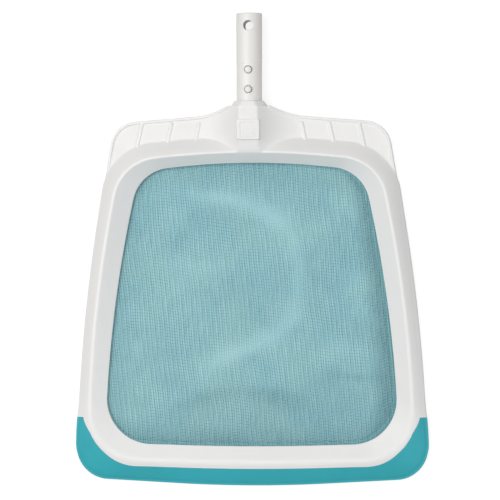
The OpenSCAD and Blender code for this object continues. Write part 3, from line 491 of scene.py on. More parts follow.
def reach(p, d, points, farthest=False):
    """Distance from each point p along its direction d to a closed outline, and the cosine there
    between d and the outline's own outward direction."""
    a = points[None] - p[:, None]
    e = (np.roll(points, -1, 0) - points)[None]
    with np.errstate(divide="ignore", invalid="ignore"):
        det = e[..., 0] * d[:, None, 1] - e[..., 1] * d[:, None, 0]
        along = (e[..., 0] * a[..., 1] - e[..., 1] * a[..., 0]) / det
        part = (d[:, None, 0] * a[..., 1] - d[:, None, 1] * a[..., 0]) / det
    hit = (along > 0) & (part >= -1e-6) & (part <= 1 + 1e-6)
    along = np.where(hit, along, -1 if farthest else np.inf)
    k = along.argmax(1) if farthest else along.argmin(1)
    side = e[0, k]
    lean = np.abs(side[:, 0] * d[:, 1] - side[:, 1] * d[:, 0]) / np.linalg.norm(side, axis=1)
    return along[np.arange(len(p)), k], lean


def climbed(y):
    """Share of the climb from the lip to the pole end."""
    return (y - RING_Y) / RING_LONG


def ring_table():
    """The ring's sizes at even places round the mouth's edge: place, outward direction, distances to the
    ridge, the outer edge and the wing's outline, and the heights of ridge and edge."""
    closed = np.vstack([mouth, mouth[:1]])
    s = np.concatenate([[0], np.cumsum(np.linalg.norm(np.diff(closed, axis=0), axis=1))])
    turn = s[-1]

    def on_mouth(at):
        return np.stack([np.interp(at, s, closed[:, 0]), np.interp(at, s, closed[:, 1])], -1)

    at = np.linspace(0, turn, TABLE_STEPS + 1)
    p = on_mouth(at)
    ahead = on_mouth((at + 1.5) % turn) - on_mouth((at - 1.5) % turn)
    ahead /= np.linalg.norm(ahead, axis=1, keepdims=True)
    out = np.stack([-ahead[:, 1], ahead[:, 0]], -1)
    straight = np.where(p[:, 1] > 0, 1 - smooth((np.abs(p[:, 0]) - 45) / 55), 0)[:, None]
    out = mix(out, np.array([0.0, 1.0]), straight)
    out /= np.linalg.norm(out, axis=1, keepdims=True)
    to_ridge = reach(p, out, ridge)[0]
    to_edge = reach(p, out, edge)[0]
    to_wing, lean = reach(p, out, wing, farthest=True)
    lean = np.where(to_wing > to_edge, lean, 1.0)
    lean = np.convolve(np.pad(lean, 6, mode="wrap"), np.ones(13) / 13, mode="valid")
    ridge_y, rim_y = p[:, 1] + out[:, 1] * to_ridge, p[:, 1] + out[:, 1] * to_edge
    bulge = 4.4 * (1 - climbed(rim_y)) * smooth((rim_y + 245) / 55)
    return turn, at, {
        "x": p[:, 0], "y": p[:, 1], "dx": out[:, 0], "dy": out[:, 1], "ridge": to_ridge, "edge": to_edge,
        "out": np.maximum(to_edge, to_wing), "lean": lean, "ridge_z": mix(*RIDGE_Z, climbed(ridge_y)),
        "edge_z": mix(*EDGE_Z, climbed(rim_y)) + bulge}


TURN, TABLE_S, TABLE = ring_table()
HALF = TURN / 2


def ring(s):
    """The table's sizes at any distance s round the mouth, in the shape of s."""
    return {key: np.interp(s % TURN, TABLE_S, values) for key, values in TABLE.items()}


def plan(c, u):
    """x and y of points at distance u outside the mouth's edge."""
    return c["x"] + c["dx"] * u, c["y"] + c["dy"] * u


def place(c, u, z):
    """The same points at height z."""
    return xyz(*plan(c, u), z)


def slope_z(c, u):
    """Height of the outer slope: it starts from the ridge at 0.65 of its mean fall and ends at 1.35 of it."""
    part = (u - c["ridge"]) / (c["edge"] - c["ridge"])
    return mix(c["ridge_z"] + APEX, c["edge_z"], part * (0.65 + 0.35 * part))


def edge_y(c):
    """y of the outer edge."""
    return plan(c, c["edge"])[1]


def lip_over(c):
    """How far the lip stands out over the frame's edge: least at its tips."""
    return mix(LIP_THICK, 5.0, smooth((TIP_Y - edge_y(c)) / 30))


def lip_start(c):
    """Where the lip begins on the outer slope: well down it at its tips and nearer the ridge farther on."""
    tip = smooth((edge_y(c) - TIP_Y + 30) / 30)
    corner = np.clip(-2 * np.abs(c["dx"]) * c["dy"], 0, 1) ** 2
    return c["ridge"] + 4.2 + 3.0 * smooth((-c["dy"] - 0.7) / 0.3) + 3.9 * tip + 1.8 * corner


def even_places(low, high, pitch, turn_step):
    """Places from low to high, a pitch apart on the straights and closer where the mouth's edge turns."""
    s = np.linspace(low, high, 2000)
    c = ring(s)
    turned = np.unwrap(np.arctan2(c["dy"], c["dx"]))
    run = (s - low) / pitch + np.concatenate([[0], np.abs(np.diff(turned)).cumsum()]) / math.radians(turn_step)
    return np.interp(np.linspace(0, run[-1], int(run[-1]) + 2), run, s)


def full_turn(pitch, turn_step):
    """Even places of the right half, and the same ones back up the left half."""
    right = even_places(0, HALF, pitch, turn_step)
    return np.concatenate([right, TURN - right[-2:0:-1]])


def at_x(x):
    """Distance round the mouth at which its top edge is x from the middle."""
    top = TABLE_S < HALF / 3
    return np.interp(x, TABLE["x"][top], TABLE_S[top])


def tip_place():
    """Distance round the mouth at which the lip's right tip lies, measured half way out."""
    s = np.linspace(HALF * 0.5, HALF * 0.9, 4000)
    return np.interp(-TIP_Y, -plan(ring(s), 25)[1], s)


TIP_S = tip_place()
TIP_LEAN = 18                   # sections lean over this distance from the lip's tip


def on_tip_plane(u, y):
    """Distance round the mouth at which the line u outside its edge has the given y (three Newton steps)."""
    s = np.full(u.shape, TIP_S)
    for _ in range(3):
        here, further = plan(ring(s), u)[1], plan(ring(s + 0.5), u)[1]
        s = s + (y - here) / ((further - here) / 0.5)
    return s


def leaned(s, u, z, y):
    """Sections at places s, of which those near the lip's tip lean, so that its end lies square across at y."""
    pull = np.clip(1 - np.abs(s - TIP_S) / TIP_LEAN, 0, 1)[:, None]
    return place(ring(s[:, None] + pull * (on_tip_plane(u, y) - TIP_S)), u, z)


def mirrored(half, closed=True):
    """A grid that ends at the bottom middle, continued on the left; closed where it begins at the top middle."""
    return np.concatenate([half, (half * np.array([-1, 1, 1]))[-2:(0 if closed else None):-1]])


class Section:
    """Rows of points for every column of a grid: distance u from the mouth's edge, height z, and wear."""

    def __init__(self, columns):
        self.columns, self.rows = columns, []

    def add(self, u, z, wear=0.0):
        """One or more rows; what is given once is the same for all of them, or for all columns."""
        shape = self.columns, np.broadcast_shapes(np.shape(u), np.shape(z))[-1]
        self.rows.append([np.broadcast_to(values, shape) for values in (u, z, wear)])

    def grids(self):
        return [np.hstack(rows) for rows in zip(*self.rows)]


# ---------------------------------------------------------------- frame moulding

FLANGE_Z = 11.4                 # top of the wings
SPINE_Z = (26.0, 36.2)          # top of the spine at the ridge and at the pad


def yoke_top(x, y):
    """Height of the yoke: a flat spine that climbs from the ridge, with hollow flanks down to the wings."""
    half = 10.5 + 2.3 * (1 - smooth((y - 109.5) / 6))
    a = np.abs(x) - half
    flank = (1 - np.clip(0.5 * (a + np.sqrt(a * a + 0.64)) / 50, 0, 1)) ** 2.2
    climb = soft_max(0, 1 - soft_max(0, 1 - (y - 105.5) / 20.5, 0.12), 0.12)
    return mix(FLANGE_Z, mix(*SPINE_Z, climb), flank)


# the wings' raised rim: distance in from the outline, and height over the wing
RIM_D = np.array([4.2, 3.5, 3.1, 2.9, 2.75, 2.5, 1.7, 0.9, 0.5, 0.2, 0.05, 0.0])
RIM_H = np.array([0.0, 0.05, 0.3, 0.9, 1.7, 2.1, 2.2, 2.2, 2.2, 2.2, 2.2, 2.2])


def frame_moulding():
    """The moulded frame as one closed grid. Each column is the section at one place round the mouth:
    up the mouth's wall, over its rim, up the inner slope, over the ridge, down and out across the wing to
    its raised rim, down the outer wall, and back through the open underside with its locking rib."""
    over_pocket = [0, 2.5, 5, 7.5, 9.2, 9.9, 10.5, 11.1, 11.8, 13, 14.6, 16.4, 18.4, 20.2, 21.4, 22.2, 22.8, 23.3,
                   23.9, 24.6]
    over_wall = [24.6, 25.8, 27]
    top_s = at_x(np.array(over_pocket + over_wall + [27, 28.5, 30.5, 33, 36, 39, 42]))
    rest = even_places(at_x(45.0), HALF, 4.5, 2.0)
    rest = rest[np.abs(rest - TIP_S) > 0.8]
    s = np.concatenate([top_s, rest[rest < TIP_S], [TIP_S, TIP_S], rest[rest > TIP_S]])
    column = np.arange(len(s))[:, None]
    pocket = column < len(over_pocket)
    housing = column < len(over_pocket + over_wall)         # the pocket and its side wall
    lip = column > len(top_s) + (rest < TIP_S).sum()
    c = ring(s[:, None])

    # sizes of each column
    back, seat = (lip_over(c) + LIP_GAP) * lip, (LIP_THICK + LIP_GAP) * lip     # room for the lip: inwards and down
    apex, out = c["ridge"], c["out"] - back
    wing_gate = smooth((plan(c, out)[1] - 84) / 25) * (c["y"] > 20)
    has_wing = (c["out"] - c["edge"] > 0.3) & (c["y"] > 20)
    spine_z = yoke_top(*plan(c, apex))
    lift = soft_max(0, np.where(has_wing, spine_z - c["ridge_z"] - APEX, -9.0), 0.3)    # the spine runs over the ridge
    apex_z = c["ridge_z"] + APEX + lift
    rise = (apex_z - RIM_Z) / (apex - 0.7)
    drop = 0.65 * (apex_z - c["edge_z"]) / (c["edge"] - apex)
    slant = np.arctan(rise)

    def yoke(u):
        return mix(c["edge_z"] - 0.5, yoke_top(*plan(c, u)), wing_gate)

    def base(u):
        """The frame's top outside the ridge: the ring's slope or the yoke, whichever is higher."""
        ring_top = slope_z(c, u)
        painted_light_above = soft_max(ring_top, np.where(has_wing, yoke(u), -50.0), 0.9)
        return mix(ring_top + lift, painted_light_above, smooth((u - apex) / 3))

    # where the slope meets the wing, or where the lip begins
    probe = mix(apex + 3, out, np.linspace(0, 1, 400))
    over = slope_z(c, probe) < yoke(probe)
    over[:, -1] = True                          # at the latest at the outline
    meet = np.take_along_axis(probe, over.argmax(1)[:, None], 1)
    meet = np.where(c["y"] > 85, meet, mix(lip_start(c) - LIP_GAP, meet, smooth((c["y"] - 55) / 30)))
    rim_scale = np.where(lip, 0.28, 1.0)        # under the lip the steps to the rim are drawn together
    first_rim = out - RIM_D[0] * rim_scale / c["lean"]
    meet = np.clip(meet, apex + 3.2, first_rim - 1.4 * rim_scale)

    section = Section(len(s))

    def add_top(u, down=0.0):
        section.add(u, base(u) - down)

    section.add([0.5, 0.12, 0.0, 0.0], [4.2, 4.32, 4.7, 7.2])
    nose, nose_z = 0.8, 7.25                    # the rim's rounded top: its radius and the height of its middle
    turn = np.linspace(0.15, 1, 6) * (np.pi / 2 - slant)
    section.add(nose - nose * np.cos(turn), nose_z + nose * np.sin(turn), 0.5)
    low_u, low_z = nose - nose * np.sin(slant), nose_z + nose * np.cos(slant)
    crown = 2.4                                 # half width of the ridge's rounded top
    t = np.array([0.1, 0.25, 0.4, 0.55, 0.7, 0.85, 0.97])
    section.add(mix(low_u, apex - crown, t), mix(low_z, apex_z - crown * rise, t))
    away = np.array([-2.4, -1.6, -1.0, -0.6, -0.2, 0.4, 1.1, 1.7, 2.4])
    t = (away + crown) / (2 * crown)
    flat = soft_min(apex_z + rise * away, apex_z - 0.75 - 0.03 * (away - 0.5) ** 2, 0.3)
    flat = soft_min(flat, base(apex + away), 0.3)
    bent = (1 - t) ** 2 * (apex_z - crown * rise) + 2 * t * (1 - t) * apex_z + t ** 2 * base(apex + crown)
    section.add(apex + away, mix(flat, bent, smooth(lift)), [0, .3, .7, 1, 1, 1, .7, .3, 0])
    add_top(mix(apex + crown, meet - rim_scale, np.array([0.15, 0.3, 0.45, 0.6, 0.75, 0.9])))
    add_top(meet + np.array([-0.8, -0.35, 0.0]) * rim_scale)
    add_top(meet + np.array([0.02, 0.35, 0.8]) * rim_scale, seat)
    t = np.array([0.04, 0.12, 0.22, 0.33, 0.44, 0.55, 0.66, 0.77, 0.88])
    add_top(mix(meet + 0.8 * rim_scale, first_rim, t), seat)
    d = RIM_D * rim_scale
    u = out - d / c["lean"]
    rim_gate = wing_gate * smooth((np.abs(plan(c, u)[0]) - 21.6) / 1.6) * has_wing
    fall = 0.9 - np.sqrt(np.clip(0.81 - (0.9 - np.minimum(d, 0.9)) ** 2, 0, None))      # the outer corner is round
    section.add(u, base(u) + RIM_H * rim_gate - fall - seat, [0, 0, 0, .2, .6, .8, .5, .7, .9, .7, .3, 0])
    section.add(out - np.array([0.0, 0.12, 0.45]), [0.5, 0.13, 0.0])

    # underside: outer wall, wing or pocket, ring's own wall, hollow, locking rib, leg
    hollow_out = c["edge"] - back - WALL
    cavity = has_wing & (c["out"] - c["edge"] > 4.2) | housing
    pocket_y, end_wall, roof = 128.52, 3.6, np.where(pocket, 2.9, 2.6)
    cav_out = np.where(cavity, out - np.where(housing, end_wall, WALL / c["lean"]), hollow_out)
    cav_in = np.where(cavity, np.where(housing, pocket_y - c["y"], c["edge"] - 0.4), hollow_out)
    u = mix(cav_out, cav_in, np.array([0.0, 0.12, 0.3, 0.5, 0.7, 0.88, 1.0]))
    under = np.where(housing & ~pocket, 0.0, base(u) - roof)
    foot_z = np.where(cavity, 0.0, 0.25)
    section.add(cav_out, foot_z)
    section.add(u, np.where(cavity, np.maximum(under, 0.0), foot_z))
    section.add(cav_in, foot_z)
    section.add(hollow_out, foot_z)
    slope_wall = WALL / np.cos(np.arctan(drop * 1.5)) + seat
    ceiling = RIM_Z - WALL / np.cos(slant)
    crest = np.minimum(ceiling + rise * apex, c["ridge_z"] - slope_wall)
    climb = np.maximum(0.2, (crest - ceiling) / apex)
    half_way = mix(hollow_out, apex, 0.5)
    section.add(hollow_out, np.maximum(0.3, slope_z(c, hollow_out) - slope_wall))
    section.add(half_way, slope_z(c, half_way) - slope_wall)
    section.add(apex, crest)
    for at, height in ((11.75, None), (11.75, 2.2), (10.35, 2.2), (10.35, 2.6), (9.95, 2.85), (9.95, 3.15),
                       (10.35, 3.4), (10.35, None), (6.0, None), (2.4, None), (2.4, 4.2)):
        section.add([at], ceiling + climb * at if height is None else height)

    u, z, wear = section.grids()
    grid = mirrored(leaned(s, u, z, TIP_Y + LIP_GAP))
    return build("frame_moulding", [loop_part(grid)], white_plastic, 38, np.concatenate([wear, wear[-2:0:-1]]))


settle(frame_moulding(), "white_plastic", "frame_shell")


# ---------------------------------------------------------------- scoop lip

def scoop_lip():
    """The soft lip: its section runs down the slope, round the nose, under and back, and is carried round the
    front edge from tip to tip; each end is drawn in a little and closed."""
    s = np.concatenate([[TIP_S, TIP_S, TIP_S + 1], even_places(TIP_S + 3, HALF, *STRIDE)])
    c = ring(s[:, None])
    a, out = lip_start(c), c["edge"]
    b = out - lip_over(c)
    run = mix(a + 0.6, out - 3.2, np.array([0.05, 0.25, 0.45, 0.65, 0.85, 1.0]))
    turn = np.linspace(0, 1, 7) * np.pi / 2
    back = mix(b, a, np.array([0.0, 0.5, 1.0]))
    section = Section(len(s))

    def add_top(u, down=0.0, wear=0.0):
        section.add(u, slope_z(c, u) - down, wear)

    add_top(a, 2.0)
    add_top(a, 0.4, 0.4)
    section.add(a + 0.12, slope_z(c, a) - 0.12, 0.4)
    add_top(a + 0.4, 0.0, 0.4)
    add_top(run)
    add_top(out - 2.7, 0.28)
    add_top(out - 2.3, 0.22)
    wide, high = 1.7, 1.5                       # the nose's quarter turn
    section.add(out - wide + wide * np.sin(turn), slope_z(c, out - wide) - high + high * np.cos(turn),
                [0, .3, .6, .9, 1, .8, 0])
    for u, height in ((out, 1.4), (out - 0.2, 0.8), (out - 0.8, 0.5), (b + 0.3, 0.5), (b, 0.8)):
        section.add(u, height)
    add_top(back, LIP_THICK)
    u, z, wear = section.grids()
    end = np.zeros((len(s), 1))
    end[1] = -0.45                              # the tip's soft edge: full size here, and drawn in before it
    grid = leaned(s, u, z, TIP_Y + end)
    middle = grid[0].mean(0)
    grid[0] = middle + (grid[0] - middle) * np.array([0.95, 1, 0.9])
    return build("lip", [loop_part(mirrored(grid, closed=False), capped=True)], teal_rubber, 40, wear[0])


settle(scoop_lip(), "teal_elastomer", "scoop_lip")


# ---------------------------------------------------------------- collar, pad and ribs of the yoke

AXIS_Z = 19.0                   # height of the tube's middle


def collar():
    """Closed ring round the tube: an eight-sided outside with soft corners that narrows in two slopes, and a
    round bore. The outside's radius along an angle is a high power mean of its eight flats."""
    angle = circle(128)[:, None]
    y = np.array([156.2, 160.9, 161.05, 161.5, 162.2, 163.1, 164.0, 164.8, 165.0, 165.12, 165.12, 165.0, 156.2])
    wide = np.array([19.2, 19.2, 19.05, 18.7, 18.1, 17.35, 16.65, 16.1, 15.95, 15.7, 14.9, 14.62, 14.62])
    high = np.array([17.0, 17.0, 16.9, 16.8, 16.65, 16.5, 16.3, 16.1, 15.95, 15.7, 14.9, 14.62, 14.62])
    flat = np.abs(np.cos(angle)) / wide
    tall = np.abs(np.sin(angle)) / high
    corner = np.where(y < 163, wide * 0.5 + high * 0.92, wide * 0.7 + high * 0.72)
    slant = (np.abs(np.cos(angle)) + np.abs(np.sin(angle))) / corner
    power = 28
    radius = (flat ** power + tall ** power + slant ** power) ** (-1 / power)
    radius = np.where(np.arange(len(y)) > 9, wide, radius)      # the last rows are the mouth and wall of the bore
    grid = xyz(radius * np.cos(angle), y, AXIS_Z + radius * np.sin(angle))
    return build("collar", [loop_part(grid)], white_plastic, 24, [0, .2, .6, .2, .1, .5, .3, .1, .6, .6, .2, 0, 0])


settle(collar(), "white_plastic")


def rounded_box(half_x, half_y, radius):
    """Outline of a rectangle with round corners, 16 points to a corner."""
    angle = np.linspace(0, np.pi / 2, 16)
    quarter = np.stack([np.cos(angle), np.sin(angle)], -1) * radius
    corners = []
    for sx, sy, k in ((1, 1, 0), (-1, 1, 1), (-1, -1, 2), (1, -1, 3)):
        turn = k * np.pi / 2
        rot = np.array([[math.cos(turn), math.sin(turn)], [-math.sin(turn), math.cos(turn)]])
        corners.append(quarter @ rot + np.array([sx * (half_x - radius), sy * (half_y - radius)]))
    return np.vstack(corners)


def pad():
    """Raised bare pad on the spine: drafted walls, rounded edge, and a shallow hollow with a soft step round a
    slightly proud field. Each ring of points is the outline moved in by an amount and set at a height."""
    middle_y, top, field = 133.3, 37.4, 36.93
    steps = [(-1.2, 31.5, 0), (-0.75, 34.6, 0), (-0.45, 36.2, 0), (-0.2, 36.75, .2), (0.0, 37.15, .6), (0.2, 37.33, .9),
             (0.55, top, .8), (1.4, top, .2), (3.0, top, .1), (3.45, 37.36, .3), (3.7, 37.1, .1), (3.85, 36.72, 0),
             (4.15, 36.62, 0), (4.6, 36.6, 0), (4.9, 36.63, 0), (5.15, 36.84, .2), (5.45, 36.92, .3), (6.2, field, 0),
             (7.6, field, 0)]
    rings = []
    for inset, height, _ in steps:
        line = rounded_box(12.3 - inset, 11.1 - inset * 0.92, max(0.4, 2.0 - inset * 0.35))
        rings.append(xyz(line[:, 0], line[:, 1] + middle_y, height))
    ends = [xyz(np.zeros(len(line)), middle_y, height) for height in (steps[0][1], field)]
    grid = np.stack([ends[0], *rings, ends[1]], 1)
    return build("pad", [loop_part(grid, loop_rows=False)], pad_plastic, 35, [0] + [step[2] for step in steps] + [0])


settle(pad(), "white_plastic")


def wing_ribs():
    """Six slanted ribs: each ring of points is a long round-ended outline, grown by an amount, at a height; the
    first and last are shrunk to the rib's middle line."""
    half_width = 1.45
    steps = [(-half_width, 11.2, 0), (1.5, 11.2, 0), (0.85, 11.42, 0), (0.45, 11.75, 0), (0.2, 12.25, 0),
             (0.05, 12.8, .3), (-0.15, 13.1, .8), (-0.5, 13.27, .9), (-0.95, 13.3, .5), (-half_width, 13.3, .4)]
    angle = np.linspace(0, np.pi, 13)[:, None]
    parts = []
    for side in (-1, 1):
        for x in (57.2, 88.0, 121.0):
            a, b = np.array([side * x, 140.6]), np.array([side * (x + 5.6), 115.8])
            way = (b - a) / np.linalg.norm(b - a)
            across = np.array([-way[1], way[0]])
            rings = []
            for grow, height, _ in steps:
                bow = (half_width + grow) * (np.cos(angle) * across - np.sin(angle) * way)
                line = np.vstack([a + bow, b - bow])
                rings.append(xyz(line[:, 0], line[:, 1], height))
            parts.append(loop_part(np.stack(rings, 1), loop_rows=False))
    return build("wing_ribs", parts, white_plastic, 40, [step[2] for step in steps])


settle(wing_ribs(), "white_plastic")


# ---------------------------------------------------------------- tube

TUBE_R, BORE_R = 14.3, 11.7
LOWER_Y, UPPER_Y = 177.62, 199.42       # the two pairs of lock buttons
HOLES = ((LOWER_Y, 4.4), (UPPER_Y, 4.4), (248.4, 5.5))      # place and radius of each hole
WINDOW = 6.5                            # half width of the square round a hole
WINDOW_STEPS, SIDE_STEPS = 12, 16       # steps across a square, and from there to the one on the rear


def tube_radius(y):
    """Outside radius along the tube: full at its foot and guide land, relieved between them."""
    relief = smooth((y - 167.5) / 0.3) * (1 - smooth((y - 206.3) / 0.3))
    return TUBE_R - 0.2 * relief


def on_face(grid, front, y=0.0):
    """A shape made for the tube's front about its axis, set on its front or rear at y."""
    return grid * np.array([1, 1, 1] if front else [-1, 1, -1]) + np.array([0, y, AXIS_Z])


def tube():
    """The drawn tube: outer and inner skins on one grid of angles, with a square window cut round each hole;
    each window is filled by rings that blend from its square edge to the round hole, and down the hole's wall."""
    edge_angle = WINDOW / TUBE_R
    near = np.linspace(-edge_angle, edge_angle, WINDOW_STEPS + 1)[:-1]
    side = np.linspace(edge_angle, np.pi - edge_angle, SIDE_STEPS + 1)[:-1]
    angle = np.concatenate([near, side, near + np.pi, side + np.pi])
    foot, end, top = 128.12, 260.9, 262.2           # the end is rounded from there to the top
    lower, upper, hanging = (y + np.linspace(-WINDOW, WINDOW, WINDOW_STEPS + 1) for y, _ in HOLES)
    ys = np.concatenate([[foot, 150.0, 167.4, 167.5, 167.65, 167.8], lower, upper,
                         [206.3, 206.45, 206.6, 216.0, 229.0], hanging, [256.5, end]])

    def turned(radius, y):
        return xyz(np.sin(angle)[:, None] * radius, y, AXIS_Z + np.cos(angle)[:, None] * radius)

    quads = grid_faces(len(angle), len(ys), True, False)
    i, j = quads[:, 0] // len(ys), quads[:, 0] % len(ys)
    at_hole = np.zeros(len(quads), bool)
    for y, _ in HOLES:
        at_hole |= (ys[j] > y - WINDOW - 0.01) & (ys[j] < y + WINDOW - 0.01)
    quads = quads[~(at_hole & (i % (WINDOW_STEPS + SIDE_STEPS) < WINDOW_STEPS))]
    parts = [(turned(radius, ys), quads, []) for radius in (tube_radius(ys), BORE_R)]

    # the rounded end, from the outer skin over to the bore, and the plain foot
    for profile in ([(TUBE_R, end), (14.25, 261.4), (14.05, 261.85), (13.7, 262.12), (13.3, top), (12.4, top),
                     (12.05, 262.1), (11.8, 261.8), (BORE_R, 261.3), (BORE_R, end)],
                    [(TUBE_R, foot), (BORE_R, foot)]):
        parts.append(loop_part(turned(*np.array(profile).T), loop_rows=False))

    # windows: from the square edge in to a small chamfer, down the hole's wall, and out again in the bore
    step, one = np.linspace(-1, 1, WINDOW_STEPS + 1)[:-1], np.ones(WINDOW_STEPS)
    square = np.concatenate([np.stack(pair, 1) for pair in ((step, -one), (one, step), (-step, one), (-one, -step))])
    round_way = square / np.linalg.norm(square, axis=1, keepdims=True)
    box = square * np.array([edge_angle, WINDOW])
    for y, hole_r in HOLES:
        outside = tube_radius(y)
        rows = []

        def blend(radius, rim, shares):
            """Rings on a skin, from the square edge at share 0 to a circle of radius rim at share 1."""
            around = np.stack([np.arcsin(round_way[:, 0] * rim / radius), round_way[:, 1] * rim], 1)
            for t in shares:
                turn, along = mix(box, around, t).T
                rows.append(xyz(radius * np.sin(turn), y + along, radius * np.cos(turn)))

        blend(outside, hole_r + 0.45, (0, .3, .55, .75, .9, 1))
        for grow, down in ((0.25, 0.12), (0.08, 0.3), (0.0, 0.55), (0.0, 1.4)):
            x, along = (round_way * (hole_r + grow)).T
            rows.append(xyz(x, y + along, np.sqrt(outside ** 2 - x ** 2) - down))
        blend(BORE_R, hole_r, (1, .8, .5, 0))
        for front in (True, False):
            parts.append(loop_part(on_face(np.stack(rows, 1), front), loop_rows=False))
    piece = build("tube", parts, tube_plastic, 30)
    work = bmesh.new()
    work.from_mesh(piece.data)
    bmesh.ops.recalc_face_normals(work, faces=work.faces)
    work.to_mesh(piece.data)
    work.free()
    return piece


settle(tube(), "tube_plastic", "handle_tube")


# ---------------------------------------------------------------- lock buttons and spring clips

def lathe(profile):
    """A profile of (radius, height) turned round the height axis."""
    angle = circle(64)[:, None]
    r, h = np.array(profile).T
    return xyz(r * np.cos(angle), r * np.sin(angle), h)


def button(name, y, front, body, node):
    """A lock button: riveted stem, flange that bears inside the tube, and a domed head with a soft edge."""
    bend = np.linspace(0, 1, 8)
    dome = [(1.2 + 2.6 * math.cos(t * np.pi / 2), 15.4 + 2.4 * math.sin(t * np.pi / 2)) for t in bend]
    stem = [(0, 6.85), (2.0, 6.85), (2.3, 7.0), (2.3, 7.6), (2.1, 7.75), (1.5, 7.76), (1.5, 8.66)]
    flange = [(5.0, 8.66), (5.25, 8.9), (5.25, 10.0), (5.0, 10.25), (4.05, 10.26), (3.8, 10.5)]
    grid = on_face(lathe(stem + flange + dome + [(0.8, 17.86), (0.4, 17.89), (0, 17.9)]), front, y)
    worn = [0] * len(stem + flange) + [0, .1, .3, .6, .9, 1, .8, .6] + [.5, .4, .4]
    piece = build(name, [loop_part(grid, loop_rows=False)], button_plastic, 35, worn)
    settle(piece, "button_plastic", node, body=body)


def half_clip(name, y_button, bend_y, front, node):
    """One leg of a hairpin spring, from the bend's middle to its free end, as a strip with rounded edges. Its path
    is rows of y, height, and the way it faces."""
    way = 1 if y_button < bend_y else -1
    middle, half_thick = 8.2, 0.4
    turn = np.linspace(0, np.pi / 2, 14)
    bend = np.stack([bend_y + way * middle * np.cos(turn), middle * np.sin(turn), np.cos(turn) * way, np.sin(turn)], -1)
    leg_y = np.linspace(bend_y, y_button - way * 4.5, 12)[1:]
    leg = np.stack(np.broadcast_arrays(leg_y, middle, 0.0, 1.0), -1)
    tip = [[leg_y[-1] - way * 0.9, middle - 0.35, -0.5 * way, 0.87]]
    path = np.vstack([bend, leg, tip])
    half_width = np.full((len(path), 1), 4.0)
    half_width[-2:, 0] = (3.6, 2.6)
    x = half_width * np.array([-1, -0.9, 0.9, 1, 1, 0.9, -0.9, -1])
    depth = np.array([0.6, 1, 1, 0.6, -0.6, -1, -1, -0.6]) * half_thick
    y = path[:, None, 0] + path[:, None, 2] * depth
    z = path[:, None, 1] + path[:, None, 3] * depth
    grid = xyz(x, y, AXIS_Z + (z if front else -z))
    piece = build(name, [loop_part(grid, capped=True)], spring_steel, 35)
    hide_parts(node)
    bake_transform(piece)


for level, y_button, bend_y in (("upper", UPPER_Y, 213.42), ("lower", LOWER_Y, 163.62)):
    for face in ("front", "rear"):
        button(f"{level}_{face}_cap", y_button, face == "front", f"{level}_{face}_lock", f"{level}_{face}_button")
        half_clip(f"{level}_{face}_leg", y_button, bend_y, face == "front", f"{level}_clip")


# ---------------------------------------------------------------- hem, cord and strips

def cord():
    """The round cord in the hem's pocket, carried round the mouth."""
    away, high, radius = 5.85, 4.75, 1.7
    angle = circle(16)
    grid = place(ring(full_turn(*STRIDE)[:, None]), away + radius * np.cos(angle), high + radius * np.sin(angle))
    return build("cord", [loop_part(grid)], cord_plastic, 60)


settle(cord(), "cord_plastic", "hem_cord")

HEM_TOP = 3.9                   # height of the hem's flat band


def hem_width(s):
    """How far the hem shows inside the mouth: widest on the right and narrow on the left."""
    c = ring(s)
    side, up = c["dx"], c["dy"]
    wave = drift(np.stack([c["x"], c["y"]], -1), 9, 16, 70, 5)
    return 2.4 + 2.0 * smooth(side * 1.2) - 0.6 * smooth(up) - 1.4 * smooth(-side) + 1.2 * smooth(-up) + wave * 0.3


def hem_ripple(s):
    """How far the hem's free edge rises and falls: a wave whose length itself changes slowly."""
    return 0.10 * np.sin(s / 1.35 + 2 * np.sin(s / 17))


def hem():
    """The doubled hem: a flat band from inside the mouth to under the rim, then a pocket round the cord."""
    s = full_turn(1.8, 1.6)
    inner = -hem_width(s)[:, None]
    t = np.array([0.0, 0.2, 0.45, 0.7, 1.0])
    flat = mix(inner + 0.5, 1.6, t)
    ripple = hem_ripple(s)[:, None] * (1 - t) ** 1.5
    section = Section(len(s))
    for inset, height in ((0.12, 3.2), (0, 3.5), (0.12, 3.8)):
        section.add(inner + inset, height + ripple[:, :1])
    section.add(flat, HEM_TOP + ripple)
    section.add([4.0, 4.0, 7.7, 7.7, 8.5, 8.5, 3.2, 3.2], [HEM_TOP, 2.9, 2.9, 6.05, 6.05, 2.1, 2.1, 3.1])
    section.add(flat[:, ::-1], 3.1 + ripple[:, ::-1])
    u, z, _ = section.grids()
    grid = place(ring(s[:, None]), u, z)
    return build("hem", [loop_part(grid)], hem_cloth, 50, cloth_map=grid[..., :2] * MM)


hem_piece = settle(hem(), "hem_cloth", "net_hem")


def stitches():
    """A row of small round stitches along the hem, each a bent bead of thread that dips in at both ends."""
    pitch, long = 3.6, 2.6
    run = np.linspace(0, 1, 7)
    s = np.arange(0, TURN - pitch, pitch)[:, None] + long * run
    high = HEM_TOP + 0.16 * np.sin(np.pi * run) + hem_ripple(s) * 0.8
    thick = 0.17 * np.sqrt(np.sin(np.pi * np.clip(run, 0.04, 0.96)))[:, None]
    angle = circle(6)
    u = -0.45 * hem_width(s)[..., None] + thick * np.cos(angle)
    beads = place(ring(s[..., None]), u, high[..., None] + thick * np.sin(angle))
    return build("stitches", [loop_part(bead, capped=True) for bead in beads], thread, 60)


stitch_piece = settle(stitches(), "hem_cloth")


